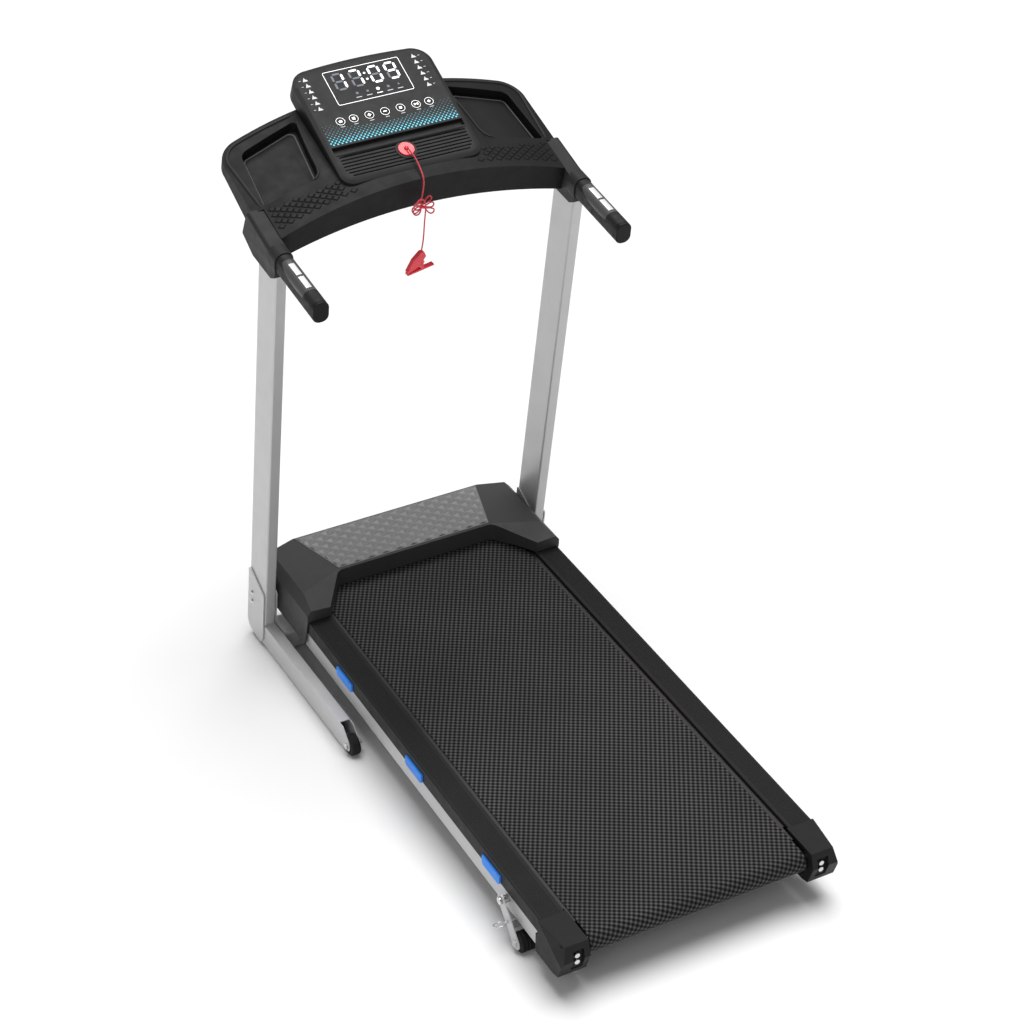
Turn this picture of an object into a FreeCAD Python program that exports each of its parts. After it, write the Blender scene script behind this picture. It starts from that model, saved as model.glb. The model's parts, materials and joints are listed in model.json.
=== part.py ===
"""Folding home treadmill: one STEP file per piece, in millimetres.

X runs across the machine, Y from the rear of the deck (-Y) to the motor hood (+Y), and Z up.
Pieces are drawn with Y zero MIDDLE_Y behind the middle of the machine; save() moves them so
that the origin is on the floor under the centre of the bounding box.
"""
import FreeCAD, Part
import math
import os
from FreeCAD import Vector

# ---- driving dimensions -------------------------------------------------------------------
MIDDLE_Y = 34.2             # from the drawing's Y zero to the middle of the machine
DECK_SLOPE = 1.3            # degrees, the deck rises towards the hood
UPRIGHT_LEAN = 10.2         # degrees, the uprights lean towards the user
CONSOLE_SLOPE = 18.0        # degrees, the tray slab
HEAD_SLOPE = 25.4           # degrees, the display head
HANDLE_SLOPE = 8.0          # degrees, the handles fall towards the user

REAR_Y = -678.0             # rear top edge of the deck
DECK_TOP_Z = 129.2          # deck top at its rear edge
RAIL_OUT_X = 300.0
RAIL_IN_X = 247.0
RAIL_SKIRT = 35.0
BELT_HALF = 237.0
BELT_TOP = -5.0             # heights on the deck are measured from the rail tops
BELT_THICK = 2.0
ROLLER_R = 22.0
REAR_ROLLER_Y = -651.0
FRONT_ROLLER_Y = 535.0
BEAM_X = (272.0, 297.0)
BEAM_H = (-77.0, -30.0)
CAP_FRONT_Y = -592.0
CAP_IN_X = 244.0
HOOD_REAR_Y = 418.0
HOOD_TOP = 38.0
HOOD_SIDE_X = 304.0
HOOD_BOTTOM = -68.0
HOOD_FRONT_Y = 686.0
HOOD_WALL = 3.0

PIVOT_Y = 626.0             # fold axis of the deck
PIVOT_Z = 112.0
PIVOT_R = 8.0
RUNNING_GAP = 0.05          # radial clearance of every running fit
FACE_GAP = 0.5              # side clearance of every turning piece

UPRIGHT_X = (316.0, 341.0)
UPRIGHT_REAR_Y = 580.0      # rear face of the upright where its line meets the floor
UPRIGHT_DEPTH = 80.0
UPRIGHT_TOP_Z = 1052.0
TUBE_WALL = 2.0
BASE_TUBE_Z = (5.0, 61.0)
BASE_TUBE_REAR_Y = 157.0
BASE_TUBE_FRONT_Y = 642.0
PLATE = 3.0
PLATE_OUT_X = 342.0
PLATE_IN_X = 312.5
CROSS_TUBE_Y = (532.0, 602.0)
CROSS_TUBE_Z = (8.0, 58.0)
WHEEL_R = 23.0
WHEEL_WIDTH = 20.0

LEG_PIVOT = (-466.0, -51.0)     # (y, height) on the deck
LEG_AXLE = (-526.0, -111.7)
LEG_PIN_AT = 0.49               # share of the way from the pivot to the axle
LEG_OUT_X = 310.0
LEG_IN_X = 266.0
LEG_WIDTH = 27.0
LEG_ROLLER_R = 21.0

STRUT_BASE = (590.0, 74.0)      # (y, z) pins of the gas strut
STRUT_DECK = (150.0, 60.0)
STRUT_R = 11.0
ROD_R = 5.0

SLAB_ORIGIN = Vector(0, 441.0, 1119.8)
SLAB_TOP_R = 1261.0             # the tray slab is arched across the machine
SLAB_BOTTOM_R = 2378.0
SLAB_DEPTH = 72.0
SLAB_BOTTOM_RISE = 8.0          # degrees, the underside closes up towards the far edge
SLAB_HALF = 313.0
SHELL = 3.0
TRAY_DEPTH = 20.0
RIM_DEPTH = 26.0

HEAD_ORIGIN = Vector(0, 640.0, 1211.0)
HEAD_HALF = 154.0
HEAD_FAR = 110.0
HEAD_NEAR = -189.0
HEAD_DEPTH = 38.0
PANEL_DEPTH = 13.0
PANEL_SKIN = 4.5
BRIM_WIDTH = 8.4               # the bevel round the head's face
BRIM_DROP = 4.0
SLOT_HALF = 144.0
GROOVE_COUNT = 7
GROOVE_PITCH = 8.0
OVERLAY_DEPTH = 1.2
KEY_V = -141.0
KEY_R = 17.0
BUTTON_V = -38.6
BUTTON_R = 10.5
BUTTON_X = (-98.0, -69.0, -34.5, 0.0, 34.5, 69.0, 98.0)
BUTTON_NAMES = ("mode", "program", "plus", "minus", "stop", "start", "preset")

HANDLE_X = 328.5
HANDLE_START = Vector(HANDLE_X, 389.0, 1043.4)
GRIP_LENGTH = 166.0
GRIP_HALF_W = 17.0
GRIP_HALF_H = 23.0
HANDLE_TUBE_R = 12.5
COLLAR_WALL = 3.0
COLLAR_Y = (-6.0, 26.0)        # the cover's sleeve, along the handle
COVER_EDGE_R = 9.0

CORD_D = 3.0
CORD_UPPER = [(0.0, 506.0, 1157.0), (2.0, 497.0, 1153.0), (4.0, 485.0, 1147.5), (4.4, 470.0, 1139.5),
              (3.0, 456.5, 1133.0), (1.2, 445.0, 1127.5), (0.2, 436.6, 1118.5), (-1.6, 434.2, 1105.5),
              (-3.0, 433.6, 1092.0), (-3.8, 433.5, 1080.0)]
CORD_LOWER = [(-3.4, 433.0, 1044.0), (-3.0, 432.6, 1030.0), (-3.2, 433.0, 1012.0), (-4.6, 433.4, 994.0),
              (-7.2, 433.2, 977.0), (-10.5, 433.0, 964.0)]
BUNDLE_CENTRE = Vector(-3.6, 433.5, 1062.0)
BUNDLE_SIZE = (48.0, 20.0, 36.0)

os.makedirs("parts", exist_ok=True)
X_AXIS = Vector(1, 0, 0)
Y_AXIS = Vector(0, 1, 0)
Z_AXIS = Vector(0, 0, 1)


# ---- shape helpers ------------------------------------------------------------------------
def box(x, y, z):
    """A box from three (low, high) pairs."""
    return Part.makeBox(x[1] - x[0], y[1] - y[0], z[1] - z[0], Vector(x[0], y[0], z[0]))


def rod_x(x, y, z, radius):
    return Part.makeCylinder(radius, x[1] - x[0], Vector(x[0], y, z), X_AXIS)


def rod_y(x, y, z, radius):
    return Part.makeCylinder(radius, y[1] - y[0], Vector(x, y[0], z), Y_AXIS)


def disc_z(x, y, z, radius):
    return Part.makeCylinder(radius, z[1] - z[0], Vector(x, y, z[0]), Z_AXIS)


def both_sides(shape):
    """The shape and its mirror image across the centre plane."""
    return [shape, mirrored(shape)]


def mirrored(shape):
    return shape.mirror(Vector(0, 0, 0), X_AXIS)


def rounded_wire(points, radii):
    """A closed wire through points, each corner rounded by its radius."""
    count = len(points)
    starts, ends, middles = [], [], []
    for i in range(count):
        corner = points[i]
        to_last = (points[i - 1] - corner).normalize()
        to_next = (points[(i + 1) % count] - corner).normalize()
        radius = radii[i]
        if radius == 0:
            starts.append(corner)
            ends.append(corner)
            middles.append(corner)
            continue
        half = to_last.getAngle(to_next) / 2
        setback = radius / math.tan(half)
        bisector = (to_last + to_next).normalize()
        centre = corner + bisector * (radius / math.sin(half))
        starts.append(corner + to_last * setback)
        ends.append(corner + to_next * setback)
        middles.append(centre - bisector * radius)
    edges = []
    for i in range(count):
        if radii[i] > 0:
            edges.append(Part.Arc(starts[i], middles[i], ends[i]).toShape())
        after = starts[(i + 1) % count]
        if (after - ends[i]).Length > 1e-6:
            edges.append(Part.LineSegment(ends[i], after).toShape())
    return Part.Wire(edges)


def prism_x(outline, x, radius=0.0):
    """An outline of (y, z) points extruded along X; radius rounds every corner."""
    radii = radius if isinstance(radius, (list, tuple)) else [radius] * len(outline)
    wire = rounded_wire([Vector(x[0], y, z) for y, z in outline], radii)
    return Part.Face(wire).extrude(Vector(x[1] - x[0], 0, 0))


def prism_y(outline, y, radius=0.0):
    """An outline of (x, z) points extruded along Y."""
    wire = rounded_wire([Vector(px, y[0], pz) for px, pz in outline], [radius] * len(outline))
    return Part.Face(wire).extrude(Vector(0, y[1] - y[0], 0))


def prism_z(outline, z, radius=0.0):
    """An outline of (x, y) points extruded along Z."""
    radii = radius if isinstance(radius, (list, tuple)) else [radius] * len(outline)
    wire = rounded_wire([Vector(px, py, z[0]) for px, py in outline], radii)
    return Part.Face(wire).extrude(Vector(0, 0, z[1] - z[0]))


def rounded_box(x, y, z, radius):
    """A box whose edges along Z are rounded."""
    outline = [(x[0], y[0]), (x[1], y[0]), (x[1], y[1]), (x[0], y[1])]
    return prism_z(outline, z, radius)


def half_space(point, normal, size=3000.0):
    """A large block on the side of a plane that its normal points to."""
    plane = Part.makePlane(size, size, Vector(-size / 2, -size / 2, 0))
    turn = FreeCAD.Rotation(Z_AXIS, normal)
    plane.Placement = FreeCAD.Placement(point, turn)
    return plane.extrude(normal.normalize() * size)


def place(shape, origin, slope):
    """A shape drawn about the origin, tilted up about X and moved to its place."""
    placed = shape.copy()
    placed.rotate(Vector(0, 0, 0), X_AXIS, slope)
    placed.translate(origin)
    return placed


def on_deck(shape):
    """Deck pieces are drawn level, with height zero at the rail tops, and then tilted."""
    placed = shape.copy()
    placed.translate(Vector(0, 0, DECK_TOP_Z))
    placed.rotate(Vector(0, REAR_Y, DECK_TOP_Z), X_AXIS, DECK_SLOPE)
    return placed


def to_deck(y, z):
    """The level deck coordinates (y, height) of a point of the standing machine."""
    angle = math.radians(DECK_SLOPE)
    dy, dz = y - REAR_Y, z - DECK_TOP_Z
    return (REAR_Y + dy * math.cos(angle) + dz * math.sin(angle), dz * math.cos(angle) - dy * math.sin(angle))


def on_upright(shape):
    return place(shape, Vector(0, UPRIGHT_REAR_Y, 0), UPRIGHT_LEAN)


def on_slab(shape):
    return place(shape, SLAB_ORIGIN, CONSOLE_SLOPE)


def on_head(shape):
    return place(shape, HEAD_ORIGIN, HEAD_SLOPE)


def on_handle(shape):
    """Handle pieces are drawn along -Y from the handle's start, centred on its axis."""
    return place(shape, HANDLE_START, HANDLE_SLOPE)


def save(name, shape):
    """Write one node; a list becomes a group of separate solids."""
    pieces = shape if isinstance(shape, list) else [shape]
    solids = [solid for piece in pieces for solid in piece.Solids]
    bad = [solid for solid in solids if not solid.isValid() or solid.Volume <= 0]
    print(f"{name}: {len(solids)} solids, {sum(s.Volume for s in solids) / 1000:.1f} cm3, bad {len(bad)}")
    group = (solids[0] if len(solids) == 1 else Part.makeCompound(solids)).copy()
    group.translate(Vector(0, -MIDDLE_Y, 0))
    group.exportStep(f"parts/{name}.step")
    return group


# ---- base frame ---------------------------------------------------------------------------
def make_base_tube():
    """The floor tube of the right side, forked at its rear end around the transport wheel."""
    x, z = UPRIGHT_X, BASE_TUBE_Z
    tab = 11.0
    side = [(BASE_TUBE_FRONT_Y, z[0]), (BASE_TUBE_FRONT_Y, z[1]), (BASE_TUBE_REAR_Y + 18, z[1]),
            (BASE_TUBE_REAR_Y - tab, WHEEL_R + tab), (BASE_TUBE_REAR_Y - tab, WHEEL_R - tab),
            (BASE_TUBE_REAR_Y + tab, WHEEL_R - tab), (BASE_TUBE_REAR_Y + 36, z[0])]
    tube = prism_x(side, x, [0, 0, 5, 10, 10, 12, 0])
    inner_x = (x[0] + TUBE_WALL, x[1] - TUBE_WALL)
    bore = box(inner_x, (BASE_TUBE_REAR_Y + 34, BASE_TUBE_FRONT_Y + 1), (z[0] + TUBE_WALL, z[1] - TUBE_WALL))
    fork = box(inner_x, (BASE_TUBE_REAR_Y - 60, BASE_TUBE_REAR_Y + 35), (0, 80))
    axle_hole = rod_x((x[0] - 5, x[1] + 5), BASE_TUBE_REAR_Y, WHEEL_R, 4.0)
    return tube.cut(bore).cut(fork).cut(axle_hole)


def make_cross_tube():
    """The tube across the machine, with the strut's lugs on top."""
    x = (-PLATE_IN_X, PLATE_IN_X)
    outline = [(CROSS_TUBE_Y[0], CROSS_TUBE_Z[0]), (CROSS_TUBE_Y[1], CROSS_TUBE_Z[0]),
               (CROSS_TUBE_Y[1], CROSS_TUBE_Z[1]), (CROSS_TUBE_Y[0], CROSS_TUBE_Z[1])]
    tube = prism_x(outline, x, 8.0)
    y = (CROSS_TUBE_Y[0] + TUBE_WALL, CROSS_TUBE_Y[1] - TUBE_WALL)
    z = (CROSS_TUBE_Z[0] + TUBE_WALL, CROSS_TUBE_Z[1] - TUBE_WALL)
    bore = [(y[0], z[0]), (y[1], z[0]), (y[1], z[1]), (y[0], z[1])]
    tube = tube.cut(prism_x(bore, (x[0] - 1, x[1] + 1), 6.0))
    y, z = STRUT_BASE
    lug_outline = [(y - 11, CROSS_TUBE_Z[1]), (y + 11, CROSS_TUBE_Z[1]), (y + 11, z + 11), (y - 11, z + 11)]
    lug = prism_x(lug_outline, (12.0, 16.0), [0, 0, 9, 9])
    pin = rod_x((-16, 16), y, z, ROD_R)
    return tube.fuse([lug, mirrored(lug), pin])


def make_gusset_plates():
    """Outer and inner plates that join the uprights, floor tubes and cross tube."""
    low, high_rear, high_front = 3.0, 152.0, 178.0
    outline = [(0.5, low), (UPRIGHT_DEPTH - 0.5, low), (UPRIGHT_DEPTH - 0.5, high_front), (0.5, high_rear)]
    corners = [24.0, 22.0, 7.0, 7.0]
    outer = on_upright(prism_x(outline, (PLATE_OUT_X, PLATE_OUT_X + PLATE), corners))
    inner = on_upright(prism_x(outline, (PLATE_IN_X, PLATE_IN_X + PLATE), corners))
    bore = rod_x((PLATE_IN_X - 1, PLATE_IN_X + PLATE + 1), PIVOT_Y, PIVOT_Z, PIVOT_R + RUNNING_GAP)
    return both_sides(outer) + both_sides(inner.cut(bore))


def make_upright():
    """One leaning rectangular tube, seated on the floor tube."""
    length = UPRIGHT_TOP_Z / math.cos(math.radians(UPRIGHT_LEAN)) + 40
    outer = prism_z([(UPRIGHT_X[0], 0), (UPRIGHT_X[1], 0), (UPRIGHT_X[1], UPRIGHT_DEPTH),
                     (UPRIGHT_X[0], UPRIGHT_DEPTH)], (-30, length), 4.0)
    x0, x1, wall = UPRIGHT_X[0], UPRIGHT_X[1], TUBE_WALL
    inner = prism_z([(x0 + wall, wall), (x1 - wall, wall), (x1 - wall, UPRIGHT_DEPTH - wall),
                     (x0 + wall, UPRIGHT_DEPTH - wall)], (-31, length + 1), 2.5)
    tube = on_upright(outer.cut(inner))
    return tube.common(box((300, 360), (0, 800), (BASE_TUBE_Z[1], UPRIGHT_TOP_Z)))


def dome_bolt(x, y, z, radius):
    """A domed bolt head that stands out along +X from a plate."""
    ball = Part.makeSphere(radius, Vector(x - radius * 0.4, y, z))
    keep = box((x, x + radius), (y - radius, y + radius), (z - radius, z + radius))
    return ball.common(keep)


def make_base_bolts():
    """Bolts of the uprights and axle bolts of the transport wheels."""
    pieces = []
    for y, z in ((616.0, 123.0), (620.0, 98.0)):
        pieces += both_sides(dome_bolt(PLATE_OUT_X + PLATE, y, z, 7.0))
    axle = rod_x((UPRIGHT_X[0] - 9, UPRIGHT_X[1]), BASE_TUBE_REAR_Y, WHEEL_R, 4.0)
    head = rod_x((UPRIGHT_X[1], UPRIGHT_X[1] + 4), BASE_TUBE_REAR_Y, WHEEL_R, 7.0)
    nut = rod_x((UPRIGHT_X[0] - 6, UPRIGHT_X[0]), BASE_TUBE_REAR_Y, WHEEL_R, 6.5)
    pieces += both_sides(axle.fuse([head, nut]))
    return pieces


def make_base_feet():
    """Rubber pads under the front ends of the floor tubes."""
    pad = rounded_box((UPRIGHT_X[0] + 1, UPRIGHT_X[1] - 1), (596, 638), (0, BASE_TUBE_Z[0]), 8.0)
    return both_sides(pad)


def make_transport_wheel():
    centre_x = sum(UPRIGHT_X) / 2
    x = (centre_x - WHEEL_WIDTH / 2, centre_x + WHEEL_WIDTH / 2)
    wheel = rod_x(x, BASE_TUBE_REAR_Y, WHEEL_R, WHEEL_R)
    return wheel.cut(rod_x((x[0] - 1, x[1] + 1), BASE_TUBE_REAR_Y, WHEEL_R, 4.0 + RUNNING_GAP))


# ---- console ------------------------------------------------------------------------------
def slab_outline(inset=0.0):
    """Plan of the tray slab: straight sides, rounded far corners, arched near and far edges."""
    half = SLAB_HALF
    wide = 336.0
    near = [Vector(-half, -29, 0), Vector(0, 0, 0), Vector(half, -29, 0)]
    corner = [Vector(wide, 190, 0), Vector(326, 226, 0), Vector(297, 245, 0)]
    far = [Vector(297, 245, 0), Vector(0, 275, 0), Vector(-297, 245, 0)]
    left = [Vector(-297, 245, 0), Vector(-326, 226, 0), Vector(-wide, 190, 0)]
    step = 56.0
    edges = [Part.Arc(*near).toShape(),
             Part.LineSegment(near[2], Vector(half, step, 0)).toShape(),
             Part.LineSegment(Vector(half, step, 0), Vector(wide, step, 0)).toShape(),
             Part.LineSegment(Vector(wide, step, 0), corner[0]).toShape(),
             Part.Arc(*corner).toShape(), Part.Arc(*far).toShape(), Part.Arc(*left).toShape(),
             Part.LineSegment(left[2], Vector(-wide, step, 0)).toShape(),
             Part.LineSegment(Vector(-wide, step, 0), Vector(-half, step, 0)).toShape(),
             Part.LineSegment(Vector(-half, step, 0), near[0]).toShape()]
    face = Part.Face(Part.Wire(edges))
    return face if inset == 0 else face.makeOffset2D(-inset)


def slab_column(inset=0.0):
    """The slab's plan extruded well past its top and bottom."""
    face = slab_outline(inset).copy()
    face.translate(Vector(0, 0, -150))
    return face.extrude(Vector(0, 0, 220))


def under_top(depth):
    """Everything lower than the slab's arched top surface, less a depth."""
    radius = SLAB_TOP_R - depth
    return Part.makeCylinder(radius, 700, Vector(0, -200, -SLAB_TOP_R), Y_AXIS)


def under_bottom(lift=0.0):
    """Everything lower than the slab's underside, raised by lift."""
    cylinder = Part.makeCylinder(SLAB_BOTTOM_R, 900, Vector(0, -300, -SLAB_BOTTOM_R), Y_AXIS)
    cylinder.rotate(Vector(0, 0, 0), X_AXIS, SLAB_BOTTOM_RISE)
    cylinder.translate(Vector(0, 0, lift - SLAB_DEPTH))
    return cylinder


def tray_outline(grow, z):
    """One storage tray's opening, on the right side."""
    corners = [(183, 79), (309, 62), (297, 208), (167, 240)]
    face = Part.Face(rounded_wire([Vector(x, y, z) for x, y in corners], [18.0, 6.0, 20.0, 8.0]))
    return face if grow == 0 else face.makeOffset2D(grow)


def head_seat():
    """The opening of the slab that the display head sinks into, in slab coordinates."""
    block = head_prism(0.0, (-HEAD_DEPTH, 60.0))
    block = on_head(block)
    block.translate(-SLAB_ORIGIN)
    block.rotate(Vector(0, 0, 0), X_AXIS, -CONSOLE_SLOPE)
    return block


def make_console_shells():
    """The tray shell on top and the belly shell below, both hollow."""
    solid = slab_column().common(under_top(0)).cut(under_bottom())
    core = slab_column(SHELL).common(under_top(SHELL)).cut(under_bottom(SHELL))
    upper = solid.cut(under_top(RIM_DEPTH))
    lower = solid.common(under_top(RIM_DEPTH)).cut(core)
    pockets, blocks = [], []
    for side in (1, -1):
        opening = tray_outline(0, -120).extrude(Vector(0, 0, 200))
        walls = tray_outline(SHELL, -120).extrude(Vector(0, 0, 200))
        if side < 0:
            opening, walls = mirrored(opening), mirrored(walls)
        pockets.append(opening.cut(under_top(TRAY_DEPTH)))
        blocks.append(walls)
    upper = upper.cut(core.cut(blocks[0]).cut(blocks[1]))
    for pocket in pockets:
        upper = upper.cut(pocket)
    seat = head_seat()
    return on_slab(upper.cut(seat)), on_slab(lower.cut(seat))


def make_side_covers():
    """Covers over the upright tops, each with the sleeve that the handle comes out of."""
    outline = [(512, 1098), (540, 1041), (493, 1013), (410, 1003), (388, 1013), (387, 1061), (428, 1072)]
    inner = [(507, 1090), (534, 1044), (491, 1017), (411, 1007), (391, 1015), (391, 1056), (428, 1065)]
    x = (SLAB_HALF, 347.0)
    cover = prism_x(outline, x, [0, 3, 12, 8, 6, 0, 0])
    crest = [edge for edge in cover.Edges if edge.BoundBox.XMin > x[1] - 0.1 and edge.BoundBox.ZMin > 1060.5]
    cover = cover.makeFillet(COVER_EDGE_R, crest)
    cavity = prism_x(inner, (x[0] + SHELL - 1, UPRIGHT_X[1] + 0.5), [0, 2, 10, 6, 4, 0, 0])
    collar = on_handle(handle_section(COLLAR_WALL, COLLAR_Y))
    cover = cover.fuse(collar)
    mouth_x = (UPRIGHT_X[0] - 0.5, UPRIGHT_X[1] + 0.5)
    bottom_mouth = on_upright(box(mouth_x, (-1, UPRIGHT_DEPTH + 1), (900, 1060)))
    grip_mouth = on_handle(handle_section(0.2, (COLLAR_Y[0] - 1, COLLAR_Y[1] + 1)))
    slab = on_slab(slab_column().common(under_top(0)).cut(under_bottom()))
    shell = cover.cut([cavity, bottom_mouth, grip_mouth, slab])
    return both_sides(max(shell.Solids, key=lambda solid: solid.Volume))


# ---- handles ------------------------------------------------------------------------------
def handle_section(grow, y):
    """The oval section of a handle, drawn along Y about its own axis."""
    half_w, half_h = GRIP_HALF_W + grow, GRIP_HALF_H + grow
    outline = [(-half_w, -half_h), (half_w, -half_h), (half_w, half_h), (-half_w, half_h)]
    return prism_y(outline, y, half_w - 2)


def make_handle_tube():
    """The steel tube inside a handle, butt-welded to the upright's rear face."""
    tube = Part.makeCylinder(HANDLE_TUBE_R, GRIP_LENGTH + 6, Vector(0, 12, 0), Vector(0, -1, 0))
    bore = Part.makeCylinder(HANDLE_TUBE_R - TUBE_WALL, GRIP_LENGTH + 16, Vector(0, 14, 0), Vector(0, -1, 0))
    upright_core = on_upright(box(UPRIGHT_X, (0, UPRIGHT_DEPTH), (0, 1200)))
    return on_handle(tube.cut(bore)).cut(upright_core)


def pulse_pocket():
    """The saddle cut out of a handle's top for the pulse sensor, with a bowed lower edge."""
    front, rear, top = Vector(-30, -24, 19), Vector(-30, -128, 8), GRIP_HALF_H + 6
    bow = Vector(-30, -88, 5)
    edges = [Part.Arc(front, bow, rear).toShape(),
             Part.LineSegment(rear, Vector(-30, rear.y, top)).toShape(),
             Part.LineSegment(Vector(-30, rear.y, top), Vector(-30, front.y, top)).toShape(),
             Part.LineSegment(Vector(-30, front.y, top), front).toShape()]
    return Part.Face(Part.Wire(edges)).extrude(Vector(60, 0, 0))


def make_handles():
    """Foam-covered grips, pulse sensor frames with two plates each, and end caps."""
    sleeve = handle_section(0, (-GRIP_LENGTH, 0))
    bore = Part.makeCylinder(HANDLE_TUBE_R, GRIP_LENGTH + 10, Vector(0, 5, 0), Vector(0, -1, 0))
    sleeve = sleeve.cut(bore)
    frame = sleeve.common(pulse_pocket())
    grip = sleeve.cut(pulse_pocket())
    upright_core = on_upright(box(UPRIGHT_X, (0, UPRIGHT_DEPTH), (0, 1200)))
    plates = []
    for y in (-120, -76):
        plate = frame.common(box((-6, 6), (y, y + 38), (9, GRIP_HALF_H + 5)))
        shallow = handle_section(-1.5, (-GRIP_LENGTH, 0))
        plate = plate.cut(shallow)
        plates.append(plate)
    frame = frame.cut(plates)
    cap = handle_section(0, (-GRIP_LENGTH - 9, -GRIP_LENGTH))
    cap = cap.makeFillet(3.0, [e for e in cap.Edges if e.BoundBox.YMax < -GRIP_LENGTH - 8.9])
    plate_pieces = []
    for plate in plates:
        plate_pieces += both_sides(on_handle(plate))
    return (both_sides(on_handle(grip).cut(upright_core)), both_sides(on_handle(frame)),
            plate_pieces, both_sides(on_handle(cap)))


# ---- display head -------------------------------------------------------------------------
def head_prism(inset, w):
    """The head's plan, arched at the far edge, extruded between two depths."""
    half = HEAD_HALF - inset
    far, near = HEAD_FAR - inset, HEAD_NEAR + inset
    far_r, near_r = 42.0 - inset, 26.0 - inset
    outline = [Vector(-half, near, w[0]), Vector(half, near, w[0]), Vector(half, far - 5, w[0]),
               Vector(-half, far - 5, w[0])]
    plan = Part.Face(rounded_wire(outline, [near_r, near_r, far_r, far_r]))
    left, right = Vector(-half + far_r, far - 5, w[0]), Vector(half - far_r, far - 5, w[0])
    crown = Part.Face(Part.Wire([Part.Arc(left, Vector(0, far, w[0]), right).toShape(),
                                 Part.LineSegment(right, left).toShape()]))
    depth = Vector(0, 0, w[1] - w[0])
    return plan.extrude(depth).fuse(crown.extrude(depth)).removeSplitter()


def slab_under_head():
    """The slab's volume below the seat that the head rests on, in head coordinates."""
    block = under_top(9.0)
    block = on_slab(block)
    block.translate(-HEAD_ORIGIN)
    block.rotate(Vector(0, 0, 0), X_AXIS, -HEAD_SLOPE)
    return block


def make_head():
    """Rear housing, front panel, face sheet, circuit board, buttons and key socket."""
    seat = slab_under_head()
    hollow = head_prism(3.0, (-HEAD_DEPTH + 3, -PANEL_DEPTH + 1))
    housing = head_prism(0, (-HEAD_DEPTH, -PANEL_DEPTH)).cut(hollow).cut(seat)
    panel = head_prism(0, (-PANEL_DEPTH, 0))
    brim = [edge for edge in panel.Edges if edge.BoundBox.ZMin > -0.1]
    panel = panel.makeChamfer(BRIM_DROP, BRIM_WIDTH, brim)
    panel = panel.cut(head_prism(3.0, (-PANEL_DEPTH - 1, -PANEL_SKIN)))
    overlay_outline = [(-HEAD_HALF + 9, -94), (HEAD_HALF - 9, -94), (HEAD_HALF - 9, HEAD_FAR - 13),
                       (-HEAD_HALF + 9, HEAD_FAR - 13)]
    overlay = prism_z(overlay_outline, (-OVERLAY_DEPTH, 0), [6, 6, 34, 34])
    window = box((-86, 86), (-4, 92), (-PANEL_DEPTH - 1, 0))
    slot = box((-SLOT_HALF, SLOT_HALF), (-114, -97), (-9, 1))
    trough = box((-SLOT_HALF - 3, SLOT_HALF + 3), (-117, -94.5), (-12, -PANEL_SKIN))
    panel = panel.fuse(trough).removeSplitter()
    cuts = [overlay, window, slot]
    for i in range(GROOVE_COUNT):
        v = -174.0 + GROOVE_PITCH * i
        half = 139.0 if i > 1 else 129.0 + 6.0 * i
        cuts.append(prism_z([(-half, v), (half, v), (half, v + 3.5), (-half, v + 3.5)], (-2.5, 1), 1.6))
    for x in BUTTON_X:
        cuts.append(disc_z(x, BUTTON_V, (-8, 1), BUTTON_R + 0.3))
    socket_ring = disc_z(0, KEY_V, (-7, 1.5), KEY_R + 5)
    cuts.append(disc_z(0, KEY_V, (-7, 2), KEY_R + 5))
    panel = panel.cut(cuts).cut(seat)
    panel = max(panel.Solids, key=lambda solid: solid.Volume)
    overlay = overlay.cut([disc_z(x, BUTTON_V, (-8, 1), BUTTON_R + 0.3) for x in BUTTON_X])
    board = box((-92, 92), (-8, 96), (-PANEL_DEPTH - 3.6, -PANEL_DEPTH - 2))
    display = box((-80, 80), (2, 86), (-PANEL_DEPTH - 2, -OVERLAY_DEPTH))
    save("head_housing", on_head(housing))
    socket = socket_ring.cut(disc_z(0, KEY_V, (-4, 2), KEY_R + 0.4))
    save("head_panel", [on_head(panel), on_head(socket)])
    save("display_overlay", on_head(overlay))
    save("display_board", on_head(board.fuse(display)))
    for name, x in zip(BUTTON_NAMES, BUTTON_X):
        save(f"button_{name}", on_head(disc_z(x, BUTTON_V, (-4.0, 0.4), BUTTON_R)))


# ---- safety key and its leash -------------------------------------------------------------
def make_safety_key():
    disc = disc_z(0, KEY_V, (-3.7, 4.0), KEY_R)
    disc = disc.makeFillet(1.5, [e for e in disc.Edges if e.BoundBox.ZMin > 3.9])
    nub = Part.makeSphere(5.0, Vector(0, KEY_V, 4.0)).common(box((-9, 9), (KEY_V - 9, KEY_V + 9), (3.5, 12)))
    return on_head(disc.fuse(nub))


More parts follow.
